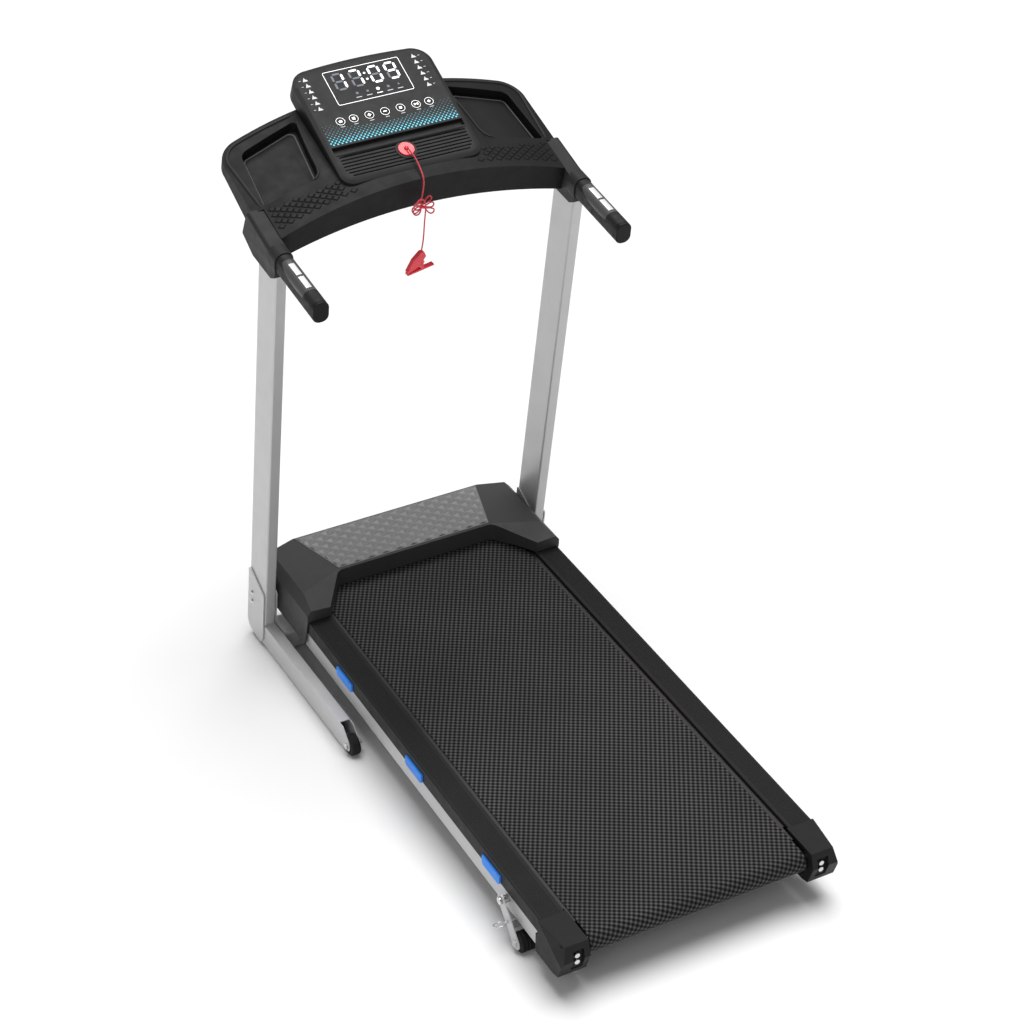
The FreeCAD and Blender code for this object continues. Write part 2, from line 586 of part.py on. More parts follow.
def cord_tube(points, name):
    """A round cord along straight runs joined by tangent arcs as large as the runs allow."""
    route = [Vector(*point) for point in points]
    edges, start, length = [], route[0], 0.0
    for i in range(1, len(route) - 1):
        before, after = route[i - 1] - route[i], route[i + 1] - route[i]
        turn = math.pi - before.getAngle(after)
        shorter = min(before.Length, after.Length)
        radius = 0.45 * shorter / math.tan(turn / 2)
        setback = 0.45 * shorter
        enter = route[i] + before.normalize() * setback
        leave = route[i] + after.normalize() * setback
        bisector = (before + after).normalize()
        middle = route[i] + bisector * (radius / math.cos(turn / 2) - radius)
        edges.append(Part.LineSegment(start, enter).toShape())
        edges.append(Part.Arc(enter, middle, leave).toShape())
        start = leave
        print(f"{name} turn {i}: {math.degrees(turn):.0f} degrees, radius {radius:.1f}")
    edges.append(Part.LineSegment(start, route[-1]).toShape())
    length = sum(edge.Length for edge in edges)
    path = Part.Wire(edges)
    first = route[1] - route[0]
    profile = Part.Wire(Part.makeCircle(CORD_D / 2, route[0], first))
    tube = path.makePipeShell([profile], True, False)
    expected = length * math.pi * CORD_D ** 2 / 4
    print(f"{name}: {length:.0f} mm long, volume {tube.Volume:.0f} against {expected:.0f} mm3")
    return tube


def make_cord_bundle():
    """The tied hank as one closed solid of its outer shape."""
    width, depth, height = BUNDLE_SIZE
    centre = BUNDLE_CENTRE
    ball = Part.makeSphere(0.5)
    stretch = FreeCAD.Matrix()
    stretch.scale(width, depth, height)
    hank = ball.transformGeometry(stretch)
    hank.translate(centre)
    return hank


CLIP_TOP = Vector(-10.5, 433.0, 957.0)


def make_clip():
    """Garment clip: an upper arm that the cord is tied to, and a lower jaw on a sprung pin."""
    x, y, z = CLIP_TOP.x, CLIP_TOP.y, CLIP_TOP.z
    arm_outline = [(x - 3, z + 7), (x + 4, z + 7), (x + 8, z - 3), (x + 1, z - 12), (x - 4, z - 22),
                   (x - 33, z - 34), (x - 34, z - 31), (x - 20, z - 8)]
    arm = prism_y(arm_outline, (y - 6, y + 6))
    jaw_outline = [(x - 34, z - 38.5), (x + 25, z - 28), (x + 25, z - 25), (x + 3, z - 29), (x + 2, z - 17),
                   (x - 1, z - 17), (x - 4, z - 30), (x - 34, z - 35.2)]
    jaw = prism_y(jaw_outline, (y - 6, y + 6))
    pivot_x, pivot_z = x + 1.0, z - 14.5
    gap = Part.makeCylinder(3.6, 14, Vector(pivot_x, y - 7, pivot_z), Y_AXIS)
    ear = Part.makeCylinder(3.0, 12, Vector(pivot_x, y - 6, pivot_z), Y_AXIS)
    return arm.cut(gap), jaw.fuse(ear).removeSplitter()


# ---- deck ---------------------------------------------------------------------------------
PAD_Y = ((206.0, 278.0), (-114.0, -42.0), (-442.0, -370.0))
PAD_H = (-38.0, -16.0)


def make_deck_beams():
    beam = box(BEAM_X, (-586, 652), BEAM_H)
    wall = 2.5
    bore = box((BEAM_X[0] + wall, BEAM_X[1] - wall), (-590, 660), (BEAM_H[0] + wall, BEAM_H[1] - wall))
    hole = rod_x((BEAM_X[0] - 1, BEAM_X[1] + 1), LEG_PIVOT[0], LEG_PIVOT[1], 5.0)
    pivot = to_deck(PIVOT_Y, PIVOT_Z)
    pivot_hole = rod_x((BEAM_X[0] - 1, BEAM_X[1] + 1), pivot[0], pivot[1], PIVOT_R)
    axle_hole = rod_x((BEAM_X[0] - 1, BEAM_X[1] + 1), FRONT_ROLLER_Y, roller_height(), 6.0)
    return both_sides(on_deck(beam.cut([bore, hole, pivot_hole, axle_hole])))


def roller_height():
    return BELT_TOP - BELT_THICK - ROLLER_R


def make_cross_members():
    """Tubes between the belt runs, the motor plate and the strut's bar under the belt."""
    span = (-BEAM_X[0], BEAM_X[0])
    pieces = []
    for y in (-570.0, -250.0, 90.0, 430.0):
        bore = box((span[0] - 1, span[1] + 1), (y + 2, y + 28), (-46, -30))
        pieces.append(on_deck(box(span, (y, y + 30), (-48, -28)).cut(bore)))
    motor_plate = box(span, (602, 650), (-52, -48)).fuse(box((-240, BEAM_X[0]), (576, 603), (-52, -48)))
    pieces.append(on_deck(motor_plate.removeSplitter()))
    y, h = to_deck(*STRUT_DECK)
    bar = box(span, (y - 14, y + 14), (-72, -56))
    outline = [(y - 12, -72), (y + 12, -72), (y + 10, h - 10), (y - 10, h - 10)]
    lug = prism_x(outline, (9.0, 13.0), [0, 0, 8, 8])
    pieces.append(on_deck(bar.fuse([lug, mirrored(lug)])))
    return pieces


def make_running_board():
    """The board under the belt, narrowed in the rear caps and beside the drive pulley."""
    wide, narrow, slot = 266.0, 242.0, 246.0
    outline = [(-narrow, -618), (narrow, -618), (narrow, -580), (wide, -580), (wide, 503), (-slot, 503),
               (-slot, 488), (-wide, 488), (-wide, -580), (-narrow, -580)]
    return on_deck(prism_z(outline, (-23.2, BELT_TOP - BELT_THICK - 0.2)))


def belt_loop(y0, r0, h0, y1, r1, h1, thickness, x):
    """A closed belt around two pulleys (y, radius, height), extruded along X."""
    def loop_face(extra):
        a, b = r0 + extra, r1 + extra
        start, end = Vector(x[0], y0, h0), Vector(x[0], y1, h1)
        line = end - start
        lean = math.asin((a - b) / line.Length)
        along = math.atan2(line.z, line.y)
        up, down = along + math.pi / 2 - lean, along - math.pi / 2 + lean

        def on(centre, radius, angle):
            return centre + Vector(0, radius * math.cos(angle), radius * math.sin(angle))
        back, front = along + math.pi, along
        return Part.Face(Part.Wire([
            Part.LineSegment(on(start, a, up), on(end, b, up)).toShape(),
            Part.Arc(on(end, b, up), on(end, b, front), on(end, b, down)).toShape(),
            Part.LineSegment(on(end, b, down), on(start, a, down)).toShape(),
            Part.Arc(on(start, a, down), on(start, a, back), on(start, a, up)).toShape()]))
    outer, inner = loop_face(thickness), loop_face(0.0)
    width = Vector(x[1] - x[0], 0, 0)
    return outer.extrude(width).cut(inner.extrude(width))


def make_side_rail():
    """Foot rail of the right side, notched for the cushion pads."""
    top = box((RAIL_IN_X, RAIL_OUT_X), (CAP_FRONT_Y, 474), (-3, 0))
    skirt = box((BEAM_X[1], RAIL_OUT_X), (CAP_FRONT_Y, 474), (-RAIL_SKIRT, 0))
    lip = box((RAIL_IN_X, RAIL_IN_X + 3), (CAP_FRONT_Y, 474), (-7, 0))
    rail = top.fuse([skirt, lip]).removeSplitter()
    notch_x, notch_h = (BEAM_X[1] - 1, RAIL_OUT_X + 1), (PAD_H[0] - 1, PAD_H[1] + 1)
    for y in PAD_Y:
        rail = rail.cut(box(notch_x, (y[0] - 1, y[1] + 1), notch_h))
    return rail


def make_cushion_pads():
    """Elastomer pads between the board and the beams, with a lug that shows outside."""
    pads = []
    for y in PAD_Y:
        outline = [(y[0] + 5, PAD_H[0]), (y[1] - 5, PAD_H[0]), (y[1], PAD_H[0] + 5), (y[1], PAD_H[1]),
                   (y[0], PAD_H[1]), (y[0], PAD_H[0] + 5)]
        lug = prism_x(outline, (BEAM_X[1], HOOD_SIDE_X))
        tongue = box((258, BEAM_X[1]), y, (BEAM_H[1], -23.2))
        pads += both_sides(on_deck(lug.fuse(tongue).removeSplitter()))
    return pads


def make_rear_caps():
    """Rear corner caps that hold the rear roller's axle; the right one is drawn."""
    side = [(CAP_FRONT_Y, 0), (REAR_Y, 0), (REAR_Y - 10, -33), (REAR_Y + 5, -75), (REAR_Y + 23, -80),
            (-586, -82), (-586, -36), (CAP_FRONT_Y, -36)]
    cap = prism_x(side, (CAP_IN_X, HOOD_SIDE_X))
    taper = Vector(1, -11 / 86.0, 0.27)
    cap = cap.cut(half_space(Vector(293, REAR_Y, 0), taper))
    axle_slot = box((CAP_IN_X - 1, 278), (REAR_ROLLER_Y - 8.2, REAR_ROLLER_Y + 8.2),
                    (roller_height() - 8.2, roller_height() + 8.2))
    recess = box((256, 280), (REAR_Y - 20, REAR_Y + 2), (-62, -14))
    hollow = box((268, 296), (REAR_Y + 8, -580), (-74, -4))
    return both_sides(on_deck(cap.cut([axle_slot, recess, hollow] + tension_screws())))


def tension_screws():
    """The two screws of the right cap that tension and steer the rear roller."""
    screws = []
    for h in (roller_height(), roller_height() - 16):
        shank = rod_y(268, (REAR_Y, REAR_Y + 14), h, 2.5)
        head = rod_y(268, (REAR_Y - 3, REAR_Y + 2), h, 5.5)
        screws.append(shank.fuse(head))
    return screws


def make_deck_bolts():
    """Fold pivots, leg pivots and the roller tension screws."""
    pieces = []
    pivot_y, pivot_h = to_deck(PIVOT_Y, PIVOT_Z)
    pieces.append(rod_x((BEAM_X[0], PLATE_IN_X + PLATE - 0.2), pivot_y, pivot_h, PIVOT_R))
    leg_bolt = rod_x((BEAM_X[0] - 9, LEG_OUT_X + PLATE), LEG_PIVOT[0], LEG_PIVOT[1], 5.0)
    collar = rod_x((BEAM_X[1], LEG_OUT_X - FACE_GAP), LEG_PIVOT[0], LEG_PIVOT[1], 8.0)
    head = rod_x((LEG_OUT_X + PLATE + FACE_GAP, LEG_OUT_X + PLATE + 4.5), LEG_PIVOT[0], LEG_PIVOT[1], 8.0)
    shank = rod_x((LEG_OUT_X + PLATE - 1, LEG_OUT_X + PLATE + 2), LEG_PIVOT[0], LEG_PIVOT[1], 5.0)
    pieces.append(leg_bolt.fuse([collar, head, shank]))
    group = []
    for piece in pieces + tension_screws():
        group += both_sides(on_deck(piece))
    return group


def make_roller(y, pulley_radius):
    """A belt roller that turns on its fixed axle; the front one carries the drive pulley."""
    h = roller_height()
    tube = rod_x((-BELT_HALF, BELT_HALF), y, h, ROLLER_R - 0.3)
    tube = tube.cut(rod_x((-BELT_HALF + 14, BELT_HALF - 14), y, h, ROLLER_R - 3))
    if pulley_radius:
        pulley = rod_x((-268, -250), y, h, pulley_radius).fuse(rod_x((-251, -BELT_HALF), y, h, 16))
        tube = tube.fuse(pulley).removeSplitter()
    return on_deck(tube.cut(rod_x((-300, 300), y, h, 6.0 + RUNNING_GAP)))


def make_roller_axles():
    h = roller_height()
    front = rod_x((-BEAM_X[1] + 1, BEAM_X[1] - 1), FRONT_ROLLER_Y, h, 6.0)
    rear = rod_x((-277, 277), REAR_ROLLER_Y, h, 6.0)
    return [on_deck(front), on_deck(rear)]


MOTOR_Y, MOTOR_H, MOTOR_R = 612.0, -8.0, 37.0
FRONT_PULLEY_R, MOTOR_PULLEY_R = 40.0, 16.0


def make_motor():
    """The motor's can and its foot; the shaft and pulley turn in it."""
    can = rod_x((-225, -70), MOTOR_Y, MOTOR_H, MOTOR_R)
    foot = box((-210, -90), (MOTOR_Y - 26, MOTOR_Y + 26), (-48, MOTOR_H - 20))
    bore = rod_x((-226, -60), MOTOR_Y, MOTOR_H, 7.0 + RUNNING_GAP)
    return on_deck(can.fuse(foot).cut(bore))


def make_motor_pulley():
    """Rotor shaft with the drive pulley and the flywheel that cools the motor."""
    shaft = rod_x((-268, -48), MOTOR_Y, MOTOR_H, 7.0)
    pulley = rod_x((-268, -250), MOTOR_Y, MOTOR_H, MOTOR_PULLEY_R)
    flywheel = rod_x((-68, -54), MOTOR_Y, MOTOR_H, 34.0)
    return on_deck(shaft.fuse([pulley, flywheel]))


def hood_body(inset):
    """The hood's outer form: a faceted bridge; inset shrinks every face for the inside."""
    side, top = HOOD_SIDE_X - inset, HOOD_TOP - inset
    low = HOOD_BOTTOM if inset == 0 else HOOD_BOTTOM - 5
    crest = 287.0 - inset * 0.6
    outline = [(-side, low), (-side, 18), (-crest, top), (crest, top), (side, 18), (side, low)]
    body = prism_y(outline, (HOOD_REAR_Y + inset, HOOD_FRONT_Y - inset))
    front_slope = Vector(0, 43, 26).normalize()
    body = body.cut(half_space(Vector(0, 662, HOOD_TOP) - front_slope * inset, front_slope))
    wing = Vector(-492, -1164, 6632).normalize()
    for x in (1, -1):
        normal = Vector(wing.x * x, wing.y, wing.z)
        cutter = half_space(Vector(187 * x, 513, HOOD_TOP) - normal * inset, normal)
        cutter = cutter.common(box((187, 400) if x > 0 else (-400, -187), (300, 520), (-100, 200)))
        body = body.cut(cutter)
        corner = Vector(20 * x, 61, 36).normalize()
        body = body.cut(half_space(Vector(227 * x, 662, HOOD_TOP) - corner * inset, corner))
    mouth = [(-187 - inset, 513 + inset), (187 + inset, 513 + inset), (250 + inset, HOOD_REAR_Y + inset),
             (250 + inset, 380), (-250 - inset, 380), (-250 - inset, HOOD_REAR_Y + inset)]
    return body.cut(prism_z(mouth, (-120, 100), [24, 24, 0, 0, 0, 0]))


def make_hood():
    """The motor hood: thin walls, open below, resting over the rails."""
    body = hood_body(0).cut(hood_body(HOOD_WALL))
    rail_gap = box((-RAIL_OUT_X - 0.6, RAIL_OUT_X + 0.6), (380, 478), (-90, 0.2))
    belt_gap = box((-RAIL_IN_X - 10, RAIL_IN_X + 10), (380, 560), (-90, BELT_TOP + 1.5))
    pivot_y, pivot_h = to_deck(PIVOT_Y, PIVOT_Z)
    pivot_notch = box((-320, 320), (pivot_y - 13, pivot_y + 13), (-90, pivot_h + 13))
    outline = [(HOOD_REAR_Y - 5, HOOD_BOTTOM - 5), (HOOD_REAR_Y + 20, HOOD_BOTTOM - 5),
               (HOOD_REAR_Y - 1, 8), (HOOD_REAR_Y - 5, 8)]
    skirt_slant = prism_x(outline, (-320, 320))
    inlet_holes = [box(INLET_X, (640, 720), INLET_H), box(SWITCH_X, (640, 720), INLET_H)]
    pocket = prism_z(insert_outline(0.3), (HOOD_TOP - 1.5, HOOD_TOP + 5))
    body = body.cut([rail_gap, belt_gap, pivot_notch, skirt_slant, pocket] + inlet_holes)
    largest = max(body.Solids, key=lambda solid: solid.Volume)
    return on_deck(largest)


def insert_outline(grow):
    """Plan of the plate let into the hood's top."""
    near, far = 519 - grow, 658 + grow
    return [(-182 - grow, near), (182 + grow, near), (222 + grow, far), (-222 - grow, far)]


INLET_X = (196.0, 226.0)
SWITCH_X = (232.0, 248.0)
INLET_H = (-48.0, -20.0)
ROCKER_TILT = 7.0


def make_power_inlet():
    """Mains inlet and switch housing behind the hood's front wall."""
    flange_y = (HOOD_FRONT_Y, HOOD_FRONT_Y + 2)
    body_y = (HOOD_FRONT_Y - 24, HOOD_FRONT_Y)
    inlet = box(INLET_X, body_y, INLET_H)
    inlet = inlet.fuse(box((INLET_X[0] - 3, INLET_X[1] + 3), flange_y, (INLET_H[0] - 3, INLET_H[1] + 3)))
    socket = box((INLET_X[0] + 4, INLET_X[1] - 4), (HOOD_FRONT_Y - 16, HOOD_FRONT_Y + 4),
                 (INLET_H[0] + 5, INLET_H[1] - 5))
    inlet = inlet.cut(socket)
    for x in (-6, 0, 6):
        centre = sum(INLET_X) / 2
        pin_x = (centre + x - 1, centre + x + 1)
        inlet = inlet.fuse(box(pin_x, (HOOD_FRONT_Y - 17, HOOD_FRONT_Y - 3), (-37, -31)))
    case = box(SWITCH_X, body_y, INLET_H)
    case = case.cut(box((SWITCH_X[0] + 1.5, SWITCH_X[1] - 1.5), (HOOD_FRONT_Y - 14, HOOD_FRONT_Y + 4),
                        (INLET_H[0] + 1.5, INLET_H[1] - 1.5)))
    return [on_deck(inlet), on_deck(case)]


def make_power_switch():
    """The rocker, at rest in its off position."""
    middle = sum(INLET_H) / 2
    outline = [(HOOD_FRONT_Y - 8, middle - 10), (HOOD_FRONT_Y - 1, middle - 11), (HOOD_FRONT_Y - 3, middle),
               (HOOD_FRONT_Y - 1, middle + 11), (HOOD_FRONT_Y - 8, middle + 10)]
    rocker = prism_x(outline, (SWITCH_X[0] + 2, SWITCH_X[1] - 2))
    rocker.rotate(Vector(0, HOOD_FRONT_Y - 6, middle), X_AXIS, ROCKER_TILT)
    return on_deck(rocker)


def make_controller():
    board_box = box((20, 150), (582, 646), (-48, -14))
    fins = [box((20 + 12.7 * i, 23 + 12.7 * i), (582, 646), (-14, -4)) for i in range(11)]
    return on_deck(board_box.fuse(fins).removeSplitter())


# ---- rear legs ----------------------------------------------------------------------------
def leg_point(share, offset=0.0):
    """A point along the leg from its pivot to its axle, offset to its front side."""
    (y0, h0), (y1, h1) = LEG_PIVOT, LEG_AXLE
    length = math.hypot(y1 - y0, h1 - h0)
    along = ((y1 - y0) / length, (h1 - h0) / length)
    return (y0 + (y1 - y0) * share - along[1] * offset, h0 + (h1 - h0) * share + along[0] * offset)


def leg_plate(x):
    """One flange of the leg with round ends."""
    length = math.hypot(LEG_AXLE[0] - LEG_PIVOT[0], LEG_AXLE[1] - LEG_PIVOT[1])
    over = LEG_WIDTH / 2 / length
    corners = [leg_point(-over, LEG_WIDTH / 2), leg_point(1 + over, LEG_WIDTH / 2),
               leg_point(1 + over, -LEG_WIDTH / 2), leg_point(-over, -LEG_WIDTH / 2)]
    return prism_x(corners, x, LEG_WIDTH / 2 - 0.5)


def make_leg():
    """The right incline leg: two flanges that straddle the beam, a web and the roller's axle."""
    outer = leg_plate((LEG_OUT_X, LEG_OUT_X + PLATE))
    inner = leg_plate((LEG_IN_X - PLATE, LEG_IN_X))
    web_outline = [leg_point(0.45, 12), leg_point(0.68, 12), leg_point(0.68, 9), leg_point(0.45, 9)]
    web = prism_x(web_outline, (LEG_IN_X - PLATE, LEG_OUT_X + PLATE))
    axle = rod_x((LEG_IN_X - PLATE - 3, LEG_OUT_X + PLATE + 4), LEG_AXLE[0], LEG_AXLE[1], 4.0)
    axle_head = rod_x((LEG_OUT_X + PLATE, LEG_OUT_X + PLATE + 4), LEG_AXLE[0], LEG_AXLE[1], 7.5)
    bore = rod_x((200, 400), LEG_PIVOT[0], LEG_PIVOT[1], 5.0 + RUNNING_GAP)
    pin_y, pin_h = leg_point(LEG_PIN_AT)
    pin_hole = rod_x((200, 400), pin_y, pin_h, 3.0 + RUNNING_GAP)
    leg = outer.fuse([inner, web, axle, axle_head]).removeSplitter()
    return on_deck(leg.cut([bore, pin_hole]))


def make_leg_roller():
    x = (LEG_IN_X + 1, LEG_OUT_X - 1)
    roller = rod_x(x, LEG_AXLE[0], LEG_AXLE[1], LEG_ROLLER_R)
    return on_deck(roller.cut(rod_x((x[0] - 1, x[1] + 1), LEG_AXLE[0], LEG_AXLE[1], 4.0 + RUNNING_GAP)))


def make_quick_pin():
    """The locking pin with its wire pull ring."""
    y, h = leg_point(LEG_PIN_AT)
    shaft = rod_x((LEG_IN_X - 6, LEG_OUT_X + 8), y, h, 3.0)
    ring_r, wire_r = 13.0, 1.0
    ring = Part.makeTorus(ring_r, wire_r, Vector(LEG_OUT_X + 7 + ring_r, y, h), Vector(0, 0.5, 1))
    return on_deck(shaft.fuse(ring).removeSplitter())


# ---- gas strut ----------------------------------------------------------------------------
def make_strut():
    """Cylinder on the base pin, rod towards the deck."""
    base = Vector(0, *STRUT_BASE)
    deck = Vector(0, *STRUT_DECK)
    line = deck - base
    along = line.normalize()
    length = (deck - base).Length
    cylinder = Part.makeCylinder(STRUT_R, 250, base + along * 16, along)
    cylinder = cylinder.cut(Part.makeCylinder(ROD_R + RUNNING_GAP, 240, base + along * 30, along))
    neck = Part.makeCylinder(7.0, 12, base + along * 7, along)
    eye = Part.makeCylinder(9.5, 22, base - X_AXIS * 11, X_AXIS)
    cylinder = cylinder.fuse([neck, eye]).cut(rod_x((-20, 20), base.y, base.z, ROD_R + RUNNING_GAP))
    rod = Part.makeCylinder(ROD_R, length - 106, base + along * 100, along)
    rod_eye = Part.makeCylinder(8.0, 12, deck - X_AXIS * 6, X_AXIS)
    return cylinder, rod.fuse(rod_eye).removeSplitter()


# ---- assembly -----------------------------------------------------------------------------
def main():
    right_tube = make_base_tube()
    save("base_tubes", both_sides(right_tube))
    save("base_cross_tube", make_cross_tube())
    save("gusset_plates", make_gusset_plates())
    upright = make_upright()
    save("uprights", both_sides(upright))
    save("base_bolts", make_base_bolts())
    save("base_feet", make_base_feet())
    wheel = make_transport_wheel()
    save("wheel_right", wheel)
    save("wheel_left", mirrored(wheel))

    console_top, console_bottom = make_console_shells()
    save("console_top", console_top)
    save("console_bottom", console_bottom)
    save("side_covers", make_side_covers())
    tube = make_handle_tube()
    save("handle_tubes", both_sides(tube))
    grips, frames, plates, caps = make_handles()
    save("grips", grips)
    save("pulse_frames", frames)
    save("pulse_plates", plates)
    save("handle_end_caps", caps)
    make_head()

    save("safety_key", make_safety_key())
    save("key_cord_upper", cord_tube(CORD_UPPER, "key_cord_upper"))
    save("key_cord_bundle", make_cord_bundle())
    save("key_cord_lower", cord_tube(CORD_LOWER, "key_cord_lower"))
    arm, jaw = make_clip()
    save("clip_arm", arm)
    save("clip_jaw", jaw)

    save("deck_beams", make_deck_beams())
    save("cross_members", make_cross_members())
    save("running_board", make_running_board())
    height = roller_height()
    belt = belt_loop(REAR_ROLLER_Y, ROLLER_R, height, FRONT_ROLLER_Y, ROLLER_R, height, BELT_THICK,
                     (-BELT_HALF, BELT_HALF))
    save("running_belt", on_deck(belt))
    rail = make_side_rail()
    save("side_rails", both_sides(on_deck(rail)))
    save("rear_caps", make_rear_caps())
    save("motor_hood", make_hood())
    save("hood_insert", on_deck(prism_z(insert_outline(0), (HOOD_TOP - 1.5, HOOD_TOP + 1.5))))
    save("cushion_pads", make_cushion_pads())
    save("deck_bolts", make_deck_bolts())
    save("roller_axles", make_roller_axles())
    save("front_roller", make_roller(FRONT_ROLLER_Y, FRONT_PULLEY_R))
    save("rear_roller", make_roller(REAR_ROLLER_Y, 0))
    save("drive_motor", make_motor())
    save("motor_pulley", make_motor_pulley())
    drive = belt_loop(FRONT_ROLLER_Y, FRONT_PULLEY_R + 0.3, height,
                      MOTOR_Y, MOTOR_PULLEY_R + 0.3, MOTOR_H, 2.5, (-267, -251))
    save("drive_belt", on_deck(drive))
    save("motor_controller", make_controller())
    save("power_inlet", make_power_inlet())
    save("power_switch", make_power_switch())

    leg = make_leg()
    save("leg_right", leg)
    save("leg_left", mirrored(leg))
    roller = make_leg_roller()
    save("leg_roller_right", roller)
    save("leg_roller_left", mirrored(roller))
    pin = make_quick_pin()
    save("quick_pin_right", pin)
    save("quick_pin_left", mirrored(pin))
    cylinder, rod = make_strut()
    save("strut_cylinder", cylinder)
    save("strut_rod", rod)


main()
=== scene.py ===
"""The looks of a folding treadmill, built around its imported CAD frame. Metres, +Z up."""
import bmesh
import bpy
import json
import math
from mathutils import Matrix, Vector


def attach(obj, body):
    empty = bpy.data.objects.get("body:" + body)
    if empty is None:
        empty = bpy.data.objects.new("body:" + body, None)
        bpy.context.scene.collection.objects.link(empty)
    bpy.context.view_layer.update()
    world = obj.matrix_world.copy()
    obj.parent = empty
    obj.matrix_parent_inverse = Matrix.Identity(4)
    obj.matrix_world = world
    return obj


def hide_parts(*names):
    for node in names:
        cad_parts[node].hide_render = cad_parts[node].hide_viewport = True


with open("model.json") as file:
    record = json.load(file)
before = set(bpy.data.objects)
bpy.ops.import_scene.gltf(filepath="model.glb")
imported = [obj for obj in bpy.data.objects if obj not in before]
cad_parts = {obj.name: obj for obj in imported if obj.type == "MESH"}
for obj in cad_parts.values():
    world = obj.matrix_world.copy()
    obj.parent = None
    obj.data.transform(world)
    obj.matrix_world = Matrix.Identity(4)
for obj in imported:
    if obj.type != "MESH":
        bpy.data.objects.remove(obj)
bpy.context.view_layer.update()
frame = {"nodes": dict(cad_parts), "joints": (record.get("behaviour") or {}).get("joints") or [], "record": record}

MM = 0.001
X_AXIS = Vector((1, 0, 0))
joints = {joint["name"]: joint for joint in frame["joints"]}
record = frame["record"]
body_of_node = {node: body for body, nodes in record["behaviour"]["bodies"].items() for node in nodes}
slot_of_node = {part["node"]: part["material_slot"] for part in record["subparts"]}


# ---- local frames of the machine ----------------------------------------------------------
class Frame:
    """Local axes: x across the machine, v along a tilted face, w out of it, all in millimetres."""

    def __init__(self, origin, slope):
        self.origin = Vector(origin)
        self.along = Vector((0, math.cos(slope), math.sin(slope)))
        self.normal = Vector((0, -math.sin(slope), math.cos(slope)))

    def at(self, x, v, w=0.0):
        return self.origin + (X_AXIS * x + self.along * v + self.normal * w) * MM


def joint_place(name):
    return Vector(joints[name]["pos_m"])


# the deck's frame has zero height at the rail tops, 29 mm over the roller axes
rear_axis = joint_place("rear_roller_turn")
front_axis = joint_place("front_roller_turn")
deck_slope = math.atan2(front_axis.z - rear_axis.z, front_axis.y - rear_axis.y)
REAR_ROLLER_V, FRONT_ROLLER_V, ROLLER_DEPTH = -651.0, 535.0, 29.0
deck = Frame(rear_axis, deck_slope)
deck.origin = deck.at(0, -REAR_ROLLER_V, ROLLER_DEPTH)

# the head's frame lies on its face; the minus button is pressed into the face at its centre line
BUTTON_V, BUTTON_PROUD = -38.6, 0.4
press = Vector(joints["button_minus_press"]["axis"])
head = Frame(joint_place("button_minus_press"), math.atan2(press.y, -press.z))
head.origin = head.at(0, -BUTTON_V, -BUTTON_PROUD)

# the tray slab starts at the middle of its near edge
SLAB_SLOPE = math.radians(18)
SLAB_ARCH_R = 1261.0
SLAB_START_M = (0, 0.4068, 1.1198)
slab = Frame(SLAB_START_M, SLAB_SLOPE)


def slab_top(x, v, lift=0.0):
    """A point of the slab's arched top face."""
    drop = SLAB_ARCH_R - math.sqrt(SLAB_ARCH_R ** 2 - x * x)
    return slab.at(x, v, lift - drop)


